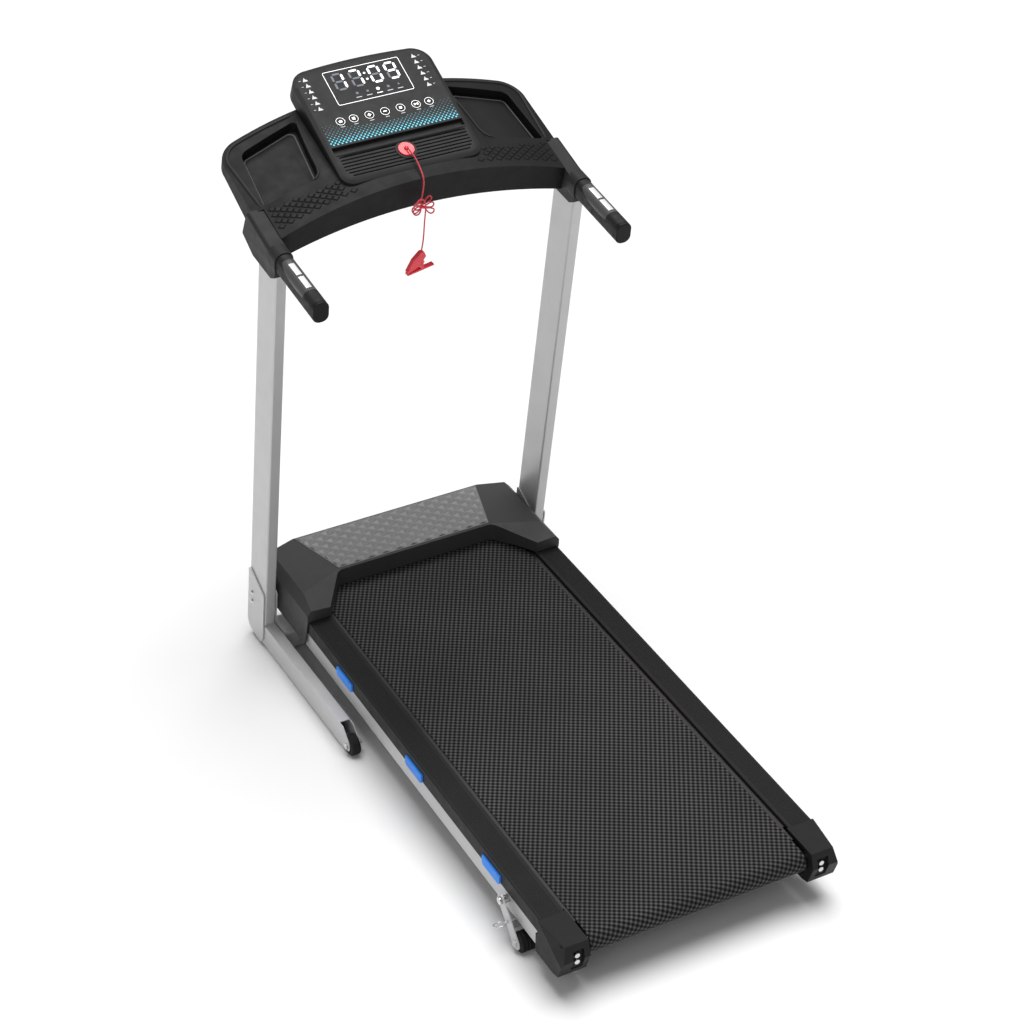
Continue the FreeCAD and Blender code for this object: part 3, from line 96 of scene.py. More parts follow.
# ---- material helpers ---------------------------------------------------------------------
class Nodes:
    """A material's node tree with short calls for adding and joining nodes."""

    def __init__(self, name):
        self.material = bpy.data.materials.new(name)
        self.material.use_nodes = True
        self.tree = self.material.node_tree
        self.shader = self.tree.nodes["Principled BSDF"]
        self.coords = self.add("ShaderNodeTexCoord").outputs["Object"]

    def add(self, kind, **values):
        node = self.tree.nodes.new(kind)
        for key, value in values.items():
            setattr(node, key, value)
        return node

    def join(self, source, target):
        self.tree.links.new(source, target)

    def math(self, operation, a, b=0.0):
        node = self.add("ShaderNodeMath", operation=operation)
        for socket, value in zip(node.inputs, (a, b)):
            if isinstance(value, (int, float)):
                socket.default_value = value
            else:
                self.join(value, socket)
        return node.outputs[0]

    def noise(self, scale, detail, coords=None):
        """Noise with about so many bumps in a metre."""
        node = self.add("ShaderNodeTexNoise")
        node.inputs["Scale"].default_value = scale
        node.inputs["Detail"].default_value = detail
        self.join(coords or self.coords, node.inputs["Vector"])
        return node.outputs["Fac"]

    def ramp(self, value, low, high, out_low=0.0, out_high=1.0):
        node = self.add("ShaderNodeMapRange")
        self.join(value, node.inputs["Value"])
        numbers = {"From Min": low, "From Max": high, "To Min": out_low, "To Max": out_high}
        for key, number in numbers.items():
            node.inputs[key].default_value = number
        return node.outputs["Result"]

    def cloud(self, scale, detail, out_low=0.0, out_high=1.0):
        """Noise whose usual range is spread between two values."""
        return self.ramp(self.noise(scale, detail), 0.3, 0.7, out_low, out_high)

    def mix(self, factor, a, b):
        """A colour between a and b; each is a colour or a socket."""
        node = self.add("ShaderNodeMix", data_type="RGBA")
        self.join(factor, node.inputs["Factor"])
        color_a, color_b, color_out = node.inputs[6], node.inputs[7], node.outputs[2]
        for socket, value in ((color_a, a), (color_b, b)):
            if hasattr(value, "links"):
                self.join(value, socket)
            else:
                socket.default_value = (*value, 1.0)
        return color_out

    def bump(self, height, strength, distance, normal=None):
        node = self.add("ShaderNodeBump")
        node.inputs["Strength"].default_value = strength
        node.inputs["Distance"].default_value = distance
        self.join(height, node.inputs["Height"])
        if normal:
            self.join(normal, node.inputs["Normal"])
        return node.outputs["Normal"]

    def set(self, **values):
        """Shader sockets: a number, a colour or another node's socket."""
        names = {"color": "Base Color", "roughness": "Roughness", "metallic": "Metallic",
                 "normal": "Normal", "coat": "Coat Weight", "coat_roughness": "Coat Roughness",
                 "sheen": "Sheen Weight", "specular": "Specular IOR Level",
                 "emission": "Emission Color", "glow": "Emission Strength"}
        for key, value in values.items():
            socket = self.shader.inputs[names[key]]
            if hasattr(value, "links"):
                self.join(value, socket)
            else:
                socket.default_value = (*value, 1.0) if isinstance(value, tuple) else value


def grey(level):
    """A grey that is a touch blue."""
    return (level, level, level * 1.02)


def scaled(color, factor):
    return tuple(channel * factor for channel in color)


def moulded_plastic(name, color, roughness, grain_depth=0.12, specular=0.4):
    """Injection moulded plastic with a fine spark-eroded grain and faint flow marks."""
    nodes = Nodes(name)
    body = nodes.mix(nodes.cloud(9, 4), scaled(color, 0.93), scaled(color, 1.07))
    speck = nodes.ramp(nodes.noise(1800, 2), 0.35, 0.65)
    body = nodes.mix(nodes.math("MULTIPLY", speck, 0.25), body, scaled(color, 1.4))
    nodes.set(color=body, roughness=nodes.cloud(40, 3, roughness - 0.05, roughness + 0.06),
              normal=nodes.bump(speck, grain_depth, 0.0002), specular=specular)
    return nodes.material


def painted_metal(name, color, roughness=0.38, metallic=0.25):
    """Powder coat: a light orange peel and metallic flecks."""
    nodes = Nodes(name)
    peel = nodes.noise(420, 2)
    fleck = nodes.ramp(nodes.noise(2600, 1), 0.55, 0.75)
    body = nodes.mix(nodes.cloud(5, 3), scaled(color, 0.985), scaled(color, 1.015))
    body = nodes.mix(nodes.math("MULTIPLY", fleck, 0.3), body, scaled(color, 1.25))
    nodes.set(color=body, metallic=metallic,
              roughness=nodes.cloud(30, 3, roughness - 0.05, roughness + 0.07),
              normal=nodes.bump(peel, 0.08, 0.0003))
    return nodes.material


def bare_metal(name, color, roughness, stretch=(1, 1, 1), depth=0.1):
    """Drawn, turned or plated steel: streaks along one axis and a slight stain."""
    nodes = Nodes(name)
    mapping = nodes.add("ShaderNodeMapping")
    mapping.inputs["Scale"].default_value = stretch
    nodes.join(nodes.coords, mapping.inputs["Vector"])
    streak = nodes.noise(500, 3, mapping.outputs["Vector"])
    stain = nodes.ramp(nodes.noise(25, 4), 0.35, 0.7)
    nodes.set(color=nodes.mix(stain, scaled(color, 0.85), color), metallic=1.0,
              roughness=nodes.ramp(streak, 0.3, 0.7, roughness * 0.75, roughness * 1.35),
              normal=nodes.bump(streak, depth, 0.0001))
    return nodes.material


def rubber(name, color, roughness=0.75):
    """Cured rubber: matt and faintly pitted, with a dusty bloom."""
    nodes = Nodes(name)
    pits = nodes.noise(900, 3)
    bloom = nodes.ramp(nodes.noise(14, 4), 0.4, 0.75)
    body = nodes.mix(bloom, color, scaled(color, 1.35))
    nodes.set(color=body, roughness=nodes.cloud(55, 2, roughness - 0.07, roughness + 0.07),
              normal=nodes.bump(pits, 0.25, 0.0003), specular=0.35)
    return nodes.material


def foam_grip(name, color):
    """Closed-cell foam: a pebbled skin."""
    nodes = Nodes(name)
    cells = nodes.add("ShaderNodeTexVoronoi")
    cells.inputs["Scale"].default_value = 900
    nodes.join(nodes.coords, cells.inputs["Vector"])
    pebble = cells.outputs["Distance"]
    body = nodes.mix(nodes.ramp(pebble, 0.0, 0.6), scaled(color, 1.25), scaled(color, 0.8))
    worn = nodes.math("MULTIPLY", nodes.cloud(12, 3), 0.4)
    body = nodes.mix(worn, body, scaled(color, 1.5))
    nodes.set(color=body, roughness=nodes.cloud(80, 2, 0.55, 0.72),
              normal=nodes.bump(pebble, 0.3, 0.0003), specular=0.4)
    return nodes.material


WEAVE_PITCH, WEAVE_TURN = 9.15 * MM, math.radians(30)


def woven_belt(name):
    """Belt face: a turned grid of raised knots with dark gaps; the UV map is in metres."""
    nodes = Nodes(name)
    uv = nodes.add("ShaderNodeUVMap", uv_map="weave").outputs["UV"]
    split = nodes.add("ShaderNodeSeparateXYZ")
    nodes.join(uv, split.inputs[0])
    cos, sin = math.cos(WEAVE_TURN), math.sin(WEAVE_TURN)

    def ripple(share_x, share_y):
        place = nodes.math("ADD", nodes.math("MULTIPLY", split.outputs["X"], share_x),
                           nodes.math("MULTIPLY", split.outputs["Y"], share_y))
        return nodes.math("COSINE", nodes.math("MULTIPLY", place, 2 * math.pi / WEAVE_PITCH))

    knot = nodes.math("ADD", ripple(sin, cos), ripple(cos, -sin))
    thread = nodes.noise(1500, 2)
    wear = nodes.ramp(nodes.noise(6, 4), 0.35, 0.7, 0.85, 1.12)
    lit = nodes.math("MULTIPLY", nodes.ramp(knot, -0.7, 1.9), wear)
    lit = nodes.math("MULTIPLY", lit, nodes.ramp(thread, 0.3, 0.65, 0.75, 1.1))
    gap_color, knot_color = grey(0.0025), grey(0.086)
    nodes.set(color=nodes.mix(lit, gap_color, knot_color),
              roughness=nodes.ramp(knot, -1.5, 1.5, 0.9, 0.6),
              normal=nodes.bump(thread, 0.15, 0.0002, nodes.bump(knot, 0.35, 0.0008)), specular=0.25)
    return nodes.material


def face_sheet(name, color):
    """Printed film over the display, finely sand-blasted."""
    nodes = Nodes(name)
    sand = nodes.noise(3200, 1)
    nodes.set(color=nodes.mix(nodes.cloud(7, 2), scaled(color, 0.9), scaled(color, 1.1)),
              roughness=nodes.cloud(50, 2, 0.36, 0.46),
              normal=nodes.bump(sand, 0.06, 0.0001), specular=0.12)
    return nodes.material


def glowing(name, color, strength):
    """A glowing mark: a lit one, or a printed or unlit one whose weak glow is a painted glow; lit ones spill a
    little unevenly.
    """
    nodes = Nodes(name)
    spill = nodes.ramp(nodes.noise(900, 1), 0.2, 0.8)
    tint = nodes.mix(spill, scaled(color, 0.85), color)
    nodes.set(color=tint, roughness=0.4, emission=tint, glow=strength)
    return nodes.material


def braided_cord(name, color):
    """A thin braided leash with a helical lay."""
    nodes = Nodes(name)
    wave = nodes.add("ShaderNodeTexWave", wave_type="BANDS", bands_direction="DIAGONAL")
    wave.inputs["Scale"].default_value = 420
    wave.inputs["Distortion"].default_value = 1.5
    nodes.join(nodes.coords, wave.inputs["Vector"])
    fibre = wave.outputs["Fac"]
    nodes.set(color=nodes.mix(fibre, scaled(color, 0.7), color), roughness=0.6, sheen=0.4,
              normal=nodes.bump(fibre, 0.5, 0.0003))
    return nodes.material


def coral_plastic(name, color):
    """Glossy, slightly translucent moulded plastic."""
    nodes = Nodes(name)
    nodes.set(color=nodes.mix(nodes.cloud(60, 3), scaled(color, 0.88), color),
              roughness=nodes.cloud(150, 2, 0.22, 0.32),
              normal=nodes.bump(nodes.noise(700, 2), 0.05, 0.0002), coat=0.3, coat_roughness=0.15)
    nodes.shader.inputs["Subsurface Weight"].default_value = 0.15
    nodes.shader.inputs["Subsurface Scale"].default_value = 0.002
    return nodes.material


def board_face(name):
    """Phenolic-faced fibreboard."""
    nodes = Nodes(name)
    mapping = nodes.add("ShaderNodeMapping")
    mapping.inputs["Scale"].default_value = (1, 0.08, 1)
    nodes.join(nodes.coords, mapping.inputs["Vector"])
    fibre = nodes.noise(300, 4, mapping.outputs["Vector"])
    dark, light = (0.006, 0.005, 0.004), (0.016, 0.012, 0.010)
    nodes.set(color=nodes.mix(nodes.ramp(fibre, 0.35, 0.65), dark, light),
              roughness=nodes.ramp(fibre, 0.3, 0.7, 0.4, 0.6), normal=nodes.bump(fibre, 0.15, 0.0003))
    return nodes.material


def circuit_board(name):
    """Green solder mask with traces."""
    nodes = Nodes(name)
    mask, trace = (0.01, 0.08, 0.035), (0.03, 0.16, 0.06)
    bricks = nodes.add("ShaderNodeTexBrick")
    bricks.inputs["Scale"].default_value = 90
    bricks.inputs["Mortar Size"].default_value = 0.06
    nodes.join(nodes.coords, bricks.inputs["Vector"])
    nodes.set(color=nodes.mix(bricks.outputs["Fac"], mask, trace),
              roughness=0.4, normal=nodes.bump(bricks.outputs["Fac"], 0.2, 0.0001))
    return nodes.material


CORAL = (0.98, 0.045, 0.075)
MATERIALS = {
    "silver_paint": painted_metal("silver_paint", (0.60, 0.60, 0.605)),
    "charcoal_plastic": moulded_plastic("charcoal_plastic", grey(0.011), 0.52, specular=0.16),
    "dark_plastic": moulded_plastic("dark_plastic", grey(0.013), 0.5, specular=0.16),
    "grey_plastic": moulded_plastic("grey_plastic", grey(0.19), 0.38, grain_depth=0.06),
    "gloss_black": moulded_plastic("gloss_black", grey(0.004), 0.3, grain_depth=0.03, specular=0.12),
    "foam_grip": foam_grip("foam_grip", grey(0.010)),
    "chrome": bare_metal("chrome", (0.93, 0.93, 0.94), 0.10, depth=0.02),
    "steel": bare_metal("steel", (0.52, 0.52, 0.53), 0.32, (0.05, 1, 1)),
    "zinc": bare_metal("zinc", (0.72, 0.72, 0.71), 0.25),
    "belt_rubber": rubber("belt_rubber", grey(0.008)),
    "blue_rubber": rubber("blue_rubber", (0.03, 0.25, 0.88), 0.5),
    "black_rubber": rubber("black_rubber", grey(0.007)),
    "board_wood": board_face("board_wood"),
    "motor_metal": painted_metal("motor_metal", grey(0.02), 0.4, 0.3),
    "key_coral": coral_plastic("key_coral", CORAL),
    "cord_coral": braided_cord("cord_coral", (0.9, 0.04, 0.075)),
    "electronics": circuit_board("electronics"),
    "aluminium": bare_metal("aluminium", (0.62, 0.62, 0.63), 0.35, (1, 0.05, 1)),
}
weave = woven_belt("belt_weave")
film = face_sheet("face_film", grey(0.026))
hood_plastic = moulded_plastic("hood_plastic", grey(0.050), 0.5, specular=0.2)
panel_plastic = moulded_plastic("panel_plastic", grey(0.030), 0.52, specular=0.16)
lit_white = glowing("lit_white", (1.0, 1.0, 1.0), 1.6)
# printed marks and unlit segments glow weakly too: a painted glow, as they are no lamps
printed_white = glowing("printed_white", (0.75, 0.76, 0.78), 0.25)
unlit_segment = glowing("unlit_segment", (0.10, 0.125, 0.155), 0.3)
frame_plastic = moulded_plastic("pulse_frame_plastic", grey(0.075), 0.45)
plate_metal = painted_metal("plate_metal", (0.93, 0.93, 0.93), 0.3, 0.35)
# a lighter plastic for the bead round each tray's floor: a painted highlight along the floor's edge
bead_plastic = moulded_plastic("bead_plastic", grey(0.11), 0.45)
# the rounded corners of a piece get a lighter copy of its material: a painted highlight along its edges
CORNER_HIGHLIGHTS = {
    "silver_paint": painted_metal("silver_paint_corner", (0.90, 0.90, 0.905), 0.28),
    "charcoal_plastic": moulded_plastic("charcoal_corner", grey(0.055), 0.4),
    "dark_plastic": moulded_plastic("dark_corner", grey(0.050), 0.4),
    "hood_plastic": moulded_plastic("hood_corner", grey(0.13), 0.4),
    "panel_plastic": moulded_plastic("panel_corner", grey(0.070), 0.42),
    "foam_grip": foam_grip("foam_corner", grey(0.022)),
    "grey_plastic": moulded_plastic("grey_corner", grey(0.34), 0.35, grain_depth=0.06),
}


# ---- mesh helpers -------------------------------------------------------------------------
FLAT_ANGLE = math.radians(0.4)


def scene_object(name, data):
    """A new object with this data, linked into the scene."""
    thing = bpy.data.objects.new(name, data)
    bpy.context.scene.collection.objects.link(thing)
    return thing


def add_piece(name, mesh, node, material=None, replaces=False):
    """Put a mesh in the scene, riding with the body of a CAD node and sharing its slot."""
    piece = scene_object(name, mesh)
    mesh.materials.clear()
    mesh.materials.append(material or MATERIALS[slot_of_node[node]])
    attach(piece, body_of_node[node])
    if replaces:
        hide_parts(node)
    return piece


def finish_mesh(shape, name, sharp_degrees=32):
    """A mesh from a bmesh, smooth but for its sharp corners."""
    bmesh.ops.recalc_face_normals(shape, faces=shape.faces)
    mesh = bpy.data.meshes.new(name)
    shape.to_mesh(mesh)
    shape.free()
    mesh.shade_smooth()
    mesh.set_sharp_from_angle(angle=math.radians(sharp_degrees))
    return mesh


def merge(shape, within_mm):
    """Join points that lie nearer together than this."""
    bmesh.ops.remove_doubles(shape, verts=shape.verts, dist=within_mm * MM)


def bevel(piece, width_mm, segments=2, degrees=32):
    """Round a piece's corners, and give them their lighter material, a painted highlight, if there is one."""
    modifier = piece.modifiers.new("soft corners", "BEVEL")
    modifier.width = width_mm * MM
    modifier.segments = segments
    modifier.limit_method = "ANGLE"
    modifier.angle_limit = math.radians(degrees)
    modifier.use_clamp_overlap = True
    modifier.harden_normals = True
    # the corner material is a lighter copy of the piece's own: a painted highlight on its rounded edges
    corner = CORNER_HIGHLIGHTS.get(piece.data.materials[0].name)
    if corner:
        piece.data.materials.append(corner)
        modifier.material = 1


def softened(node, width_mm, material=None, segments=2, degrees=32):
    """A CAD node's own shape with its flat faces merged and its corners rounded."""
    shape = bmesh.new()
    shape.from_mesh(frame["nodes"][node].data)
    merge(shape, 0.002)
    bmesh.ops.dissolve_limit(shape, angle_limit=FLAT_ANGLE, verts=shape.verts, edges=shape.edges)
    name = node + "_soft"
    piece = add_piece(name, finish_mesh(shape, name, degrees), node, material, replaces=True)
    bevel(piece, width_mm, segments, degrees)


def loft(shape, rings, closed_ends=True):
    """Skin a list of closed rings of points."""
    layers = [[shape.verts.new(point) for point in ring] for ring in rings]
    for lower, upper in zip(layers, layers[1:]):
        count = len(lower)
        for i in range(count):
            j = (i + 1) % count
            shape.faces.new((lower[i], lower[j], upper[j], upper[i]))
    if closed_ends:
        shape.faces.new(list(reversed(layers[0])))
        shape.faces.new(layers[-1])


def circle(x, v, radius, steps, turn=0.0):
    """2-D points round the centre (x, v)."""
    angles = [turn + 2 * math.pi * i / steps for i in range(steps)]
    return [(x + radius * math.cos(angle), v + radius * math.sin(angle)) for angle in angles]


def turned(name, axis_point, profile, node):
    """A piece turned about an X axis; the profile is a list of (x, radius) in millimetres."""
    shape = bmesh.new()
    rings = []
    for x, radius in profile:
        centre = Vector((x * MM, axis_point.y, axis_point.z))
        rings.append([centre + Vector((0, y, z)) * MM for y, z in circle(0, 0, radius, 64)])
    loft(shape, rings, closed_ends=False)
    add_piece(name, finish_mesh(shape, name), node, replaces=True)


def extruded(shape, outline, place, depth):
    """A closed outline of 2-D points, placed and extruded by the vector depth."""
    low = [shape.verts.new(place(a, b)) for a, b in outline]
    high = [shape.verts.new(vert.co + depth) for vert in low]
    count = len(low)
    shape.faces.new(low)
    shape.faces.new(list(reversed(high)))
    for i in range(count):
        j = (i + 1) % count
        shape.faces.new((low[i], high[i], high[j], low[j]))


def rounded_outline(corners, radius, steps):
    """A 2-D outline with an arc of so many steps at each corner."""
    points = []
    count = len(corners)
    for i in range(count):
        corner = Vector(corners[i])
        before = (Vector(corners[i - 1]) - corner).normalized()
        after = (Vector(corners[(i + 1) % count]) - corner).normalized()
        half = before.angle(after) / 2
        centre = corner + (before + after).normalized() * radius / math.sin(half)
        start = corner + before * radius / math.tan(half) - centre
        end = corner + after * radius / math.tan(half) - centre
        turn = start.angle_signed(end)
        for k in range(steps + 1):
            arm = start.copy()
            arm.rotate(Matrix.Rotation(-turn * k / steps, 2))
            point = centre + arm
            points.append((point.x, point.y))
    return points


# ---- deck ---------------------------------------------------------------------------------
BELT_HALF, BELT_OUT_R, BELT_IN_R = 237.0, 24.0, 22.1


def running_belt():
    """The belt as one endless loop, its UV map measured along the loop."""
    arc_steps, edge = 28, 1.2
    path = []
    for roller_v, start in ((FRONT_ROLLER_V, 90), (REAR_ROLLER_V, 270)):
        for i in range(arc_steps + 1):
            path.append((roller_v, math.radians(start - 180 * i / arc_steps)))
    shape = bmesh.new()
    uv = shape.loops.layers.uv.new("weave")
    columns = ((-BELT_HALF, BELT_IN_R), (-BELT_HALF, BELT_OUT_R - edge), (-BELT_HALF + edge, BELT_OUT_R),
               (BELT_HALF - edge, BELT_OUT_R), (BELT_HALF, BELT_OUT_R - edge), (BELT_HALF, BELT_IN_R))
    rows, lengths, travelled, last = [], [], 0.0, None
    for roller_v, angle in path:
        point = (roller_v + BELT_OUT_R * math.cos(angle), BELT_OUT_R * math.sin(angle))
        if last:
            travelled += math.dist(point, last)
        last = point
        lengths.append(travelled)
        rows.append([shape.verts.new(deck.at(x, roller_v + radius * math.cos(angle),
                                             radius * math.sin(angle) - ROLLER_DEPTH))
                     for x, radius in columns])
    total = travelled + math.dist(last, (path[0][0], BELT_OUT_R))
    spans = list(zip(rows, rows[1:] + rows[:1], lengths, lengths[1:] + [total]))
    for low, high, start, end in spans:
        for k in range(len(columns)):
            m = (k + 1) % len(columns)
            face = shape.faces.new((low[k], low[m], high[m], high[k]))
            for loop, (column, length) in zip(face.loops, ((k, start), (m, start), (m, end), (k, end))):
                loop[uv].uv = (columns[column][0] * MM, length * MM)
    mesh = finish_mesh(shape, "running_belt_woven")
    add_piece("running_belt_woven", mesh, "running_belt", weave, replaces=True)


RAIL_IN_X, RAIL_OUT_X, RAIL_NEAR_V, RAIL_FAR_V = 247.0, 300.0, -592.0, 474.0
RAIL_THICK, RAIL_LIP, RAIL_EDGE = 3.0, 7.0, 1.2
SKIRT_LOW, SKIRT_LOW_OVER_PAD = -35.0, -15.0
GROOVES, GROOVE_PITCH, FIRST_GROOVE, GROOVE_DEPTH = 10, 4.0, 7.0, 0.7
PAD_MIDDLES, PAD_ROOM = (-406.0, -78.0, 242.0), 37.0


def rail_top_outline():
    """The rail's cross-section: a plate with grip grooves and a small lip beside the belt."""
    inner, outer = RAIL_IN_X, RAIL_OUT_X
    outline = [(inner, -RAIL_LIP), (inner + 2, -RAIL_LIP), (inner + 2, -RAIL_THICK),
               (outer - RAIL_THICK, -RAIL_THICK), (outer, -RAIL_THICK), (outer, -RAIL_EDGE),
               (outer - RAIL_EDGE, 0.0)]
    for k in range(GROOVES):
        x = outer - FIRST_GROOVE - GROOVE_PITCH * k
        outline += [(x + 1.0, 0.0), (x + 0.5, -GROOVE_DEPTH), (x - 0.5, -GROOVE_DEPTH), (x - 1.0, 0.0)]
    return outline + [(inner + RAIL_EDGE, 0.0), (inner, -RAIL_EDGE)]


def side_rails():
    """Foot rails with fine grip grooves along their tops and a skirt notched for the pads."""
    edges = [RAIL_NEAR_V]
    for v in PAD_MIDDLES:
        edges += [v - PAD_ROOM, v + PAD_ROOM]
    edges.append(RAIL_FAR_V)
    for name, side in (("left", -1), ("right", 1)):
        shape = bmesh.new()

        def stretch(outline, start, end):
            length = deck.along * (end - start) * MM
            extruded(shape, outline, lambda x, h: deck.at(side * x, start, h), length)

        stretch(rail_top_outline(), RAIL_NEAR_V, RAIL_FAR_V)
        for k, (start, end) in enumerate(zip(edges, edges[1:])):
            low = SKIRT_LOW if k % 2 == 0 else SKIRT_LOW_OVER_PAD
            skirt = [(RAIL_OUT_X - RAIL_THICK, -RAIL_THICK), (RAIL_OUT_X, -RAIL_THICK),
                     (RAIL_OUT_X, low + 1), (RAIL_OUT_X - 1, low), (RAIL_OUT_X - RAIL_THICK, low)]
            stretch(skirt, start, end)
        add_piece("rail_" + name, finish_mesh(shape, "rail_" + name), "side_rails", replaces=True)


def hood_insert():
    """The hood's grey plate: rows of staggered diamonds, each a low pyramid."""
    softened("hood_insert", 0.6)
    cell_x, cell_v, base, peak, half_columns = 34.0, 29.0, 38.7, 43.0, 8
    near, far, near_half, far_half, trim = 519.0, 658.0, 182.0, 222.0, 3.0
    shape = bmesh.new()
    rows = int((far - near) / (cell_v / 2)) + 2
    for row in range(-1, rows):
        v = near + cell_v / 2 * row
        shift = cell_x / 2 * (row % 2)
        for column in range(-half_columns, half_columns):
            x = column * cell_x + shift
            ring = [(x - cell_x / 2, v), (x, v - cell_v / 2), (x + cell_x / 2, v), (x, v + cell_v / 2)]
            corners = [shape.verts.new(deck.at(a, b, base)) for a, b in ring]
            top = shape.verts.new(deck.at(x, v, peak))
            for i in range(4):
                shape.faces.new((corners[i], corners[(i + 1) % 4], top))
    slant = math.atan2(far_half - near_half, far - near)
    cuts = [(deck.at(0, near + trim, 0), -deck.along), (deck.at(0, far - trim, 0), deck.along)]
    for side in (-1, 1):
        outward = X_AXIS * side * math.cos(slant) - deck.along * math.sin(slant)
        cuts.append((deck.at(side * (near_half - trim), near, 0), outward))
    for point, outward in cuts:
        geometry = shape.verts[:] + shape.edges[:] + shape.faces[:]
        bmesh.ops.bisect_plane(shape, geom=geometry, plane_co=point, plane_no=outward, clear_outer=True)
    merge(shape, 0.01)
    add_piece("hood_insert_diamonds", finish_mesh(shape, "hood_insert_diamonds", 5), "hood_insert")


def deck_pieces():
    running_belt()
    side_rails()
    hood_insert()
    softened("motor_hood", 1.3, hood_plastic, degrees=9)
    softened("rear_caps", 1.0, degrees=12)
    softened("cushion_pads", 1.2, segments=3)
    softened("deck_beams", 1.5)
    softened("deck_bolts", 0.5)


# ---- base ---------------------------------------------------------------------------------
def base_pieces():
    softened("base_tubes", 1.5, segments=3)
    softened("gusset_plates", 0.5)
    softened("leg_right", 0.4)
    softened("leg_left", 0.4)
    softened("base_feet", 1.0)


# (across the wheel, radius): the bore, a dished side, the tyre's shoulders and back again
WHEEL_PROFILE = ((-10, 4.05), (-10, 7.5), (-9.0, 8.2), (-9.0, 13.5), (-10, 14.2), (-10, 20.5), (-8.6, 22.2),
                 (-6.0, 23.0), (6.0, 23.0), (8.6, 22.2), (10, 20.5), (10, 14.2), (9.0, 13.5), (9.0, 8.2),
                 (10, 7.5), (10, 4.05), (-10, 4.05))


def tread_profile():
    """A leg roller with five grooves round it."""
    half, bore, tyre, shoulder, groove = 21.0, 4.05, 20.9, 18.5, 18.6
    profile = [(-half, bore), (-half, shoulder), (-half + 2.0, tyre)]
    for k in range(5):
        x = -15.0 + 7.5 * k
        profile += [(x - 1.4, tyre), (x - 1.0, groove), (x + 1.0, groove), (x + 1.4, tyre)]
    return profile + [(half - 2.0, tyre), (half, shoulder), (half, bore), (-half, bore)]


def wheels():
    """Transport wheels, and leg rollers with treads."""
    for name in ("left", "right"):
        place = joint_place(f"wheel_{name}_turn")
        profile = [(place.x / MM + x, radius) for x, radius in WHEEL_PROFILE]
        turned("transport_wheel_" + name, place, profile, "wheel_" + name)
        place = joint_place(f"leg_roller_{name}_turn")
        profile = [(place.x / MM + x, radius) for x, radius in tread_profile()]
        turned("leg_roller_tread_" + name, place, profile, "leg_roller_" + name)


# ---- console ------------------------------------------------------------------------------
def console_band():
    """The embossed band along the slab's near edge: staggered scales on the arched face."""
    cell_x, cell_v, proud, rows, half_columns = 20.0, 16.5, 2.0, 8, 17
    margin, band_far, band_half = 16.0, 58.0, 311.0
    edge_bow, edge_half = 29.0, 313.0
    head_half, head_near = 158.0, 14.0
    shape = bmesh.new()
    for row in range(rows):
        shift = cell_x / 2 * (row % 2)
        for column in range(-half_columns, half_columns):
            x = column * cell_x + shift
            near_edge = -edge_bow * (x / edge_half) ** 2
            v = near_edge + margin + cell_v / 2 * (row + 1)
            head_edge = head_near * (1 + (abs(x) / head_half) ** 8)
            under_head = abs(x) < head_half and v > head_edge
            if abs(x) > band_half - cell_x / 2 or v > band_far - cell_v / 2 or under_head:
                continue

            def ground(a, b, lift):
                return slab_top(x + a * cell_x / 2, v + b * cell_v / 2, lift)

            wide, sunk = 0.98, -0.2
            rim = [ground(a, b, sunk) for a, b in ((-wide, 0), (0, -wide), (wide, 0), (0, wide))]
            crest = [ground(-0.6, 0.0, proud), ground(0, -0.55, proud * 0.6), ground(0.6, 0.0, proud),
                     ground(0, 0.65, proud)]
            loft(shape, [rim, crest])
    piece = add_piece("console_band", finish_mesh(shape, "console_band", 20), "console_top")
    bevel(piece, 0.5, segments=1, degrees=20)


def ridge(name, path, place, width, height, node, closed=False, material=None):
    """A rounded ridge along a path of 2-D points, laid on the face that place() gives."""
    shape = bmesh.new()
    arch_steps, sunk, end_size = 8, 0.3, 0.35
    rings = []
    count = len(path)
    for i in range(count):
        if closed:
            before, after = Vector(path[i - 1]), Vector(path[(i + 1) % count])
        else:
            before, after = Vector(path[max(i - 1, 0)]), Vector(path[min(i + 1, count - 1)])
        tangent = (after - before).normalized()
        side = Vector((tangent.y, -tangent.x))
        size = end_size if not closed and i in (0, count - 1) else 1.0
        ring = []
        for k in range(arch_steps + 1):
            angle = math.pi * k / arch_steps
            offset = Vector(path[i]) + side * (math.cos(angle) * size * width / 2)
            ring.append(place(offset.x, offset.y, size * height * math.sin(angle) ** 0.7 - sunk))
        rings.append(ring)
    loft(shape, rings + rings[:1] if closed else rings, closed_ends=not closed)
    merge(shape, 0.001)
    add_piece(name, finish_mesh(shape, name, 60), node, material)


def arc_through(start, middle, end, steps):
    """2-D points along the circle through three points."""
    a, b, c = Vector(start), Vector(middle), Vector(end)
    double_area = a.x * (b.y - c.y) + b.x * (c.y - a.y) + c.x * (a.y - b.y)
    aa, bb, cc = a.length_squared, b.length_squared, c.length_squared
    centre = Vector((aa * (b.y - c.y) + bb * (c.y - a.y) + cc * (a.y - b.y),
                     aa * (c.x - b.x) + bb * (a.x - c.x) + cc * (b.x - a.x))) / (2 * double_area)
    first = a - centre
    sweep = first.angle_signed(c - centre)
    return [tuple(centre + Matrix.Rotation(-sweep * k / steps, 2) @ first) for k in range(steps + 1)]


TRAY = ((183, 79), (309, 62), (297, 208), (167, 240))
TRAY_DEPTH = 20.0
# (x, v) along the lip that divides a tray from the head
TRAY_LIP = ((161, 256), (167, 222), (173, 178), (177, 136), (179, 106), (183, 90), (192, 80), (203, 77))


def tray_floor(x, v, lift):
    return slab_top(x, v, lift - TRAY_DEPTH)


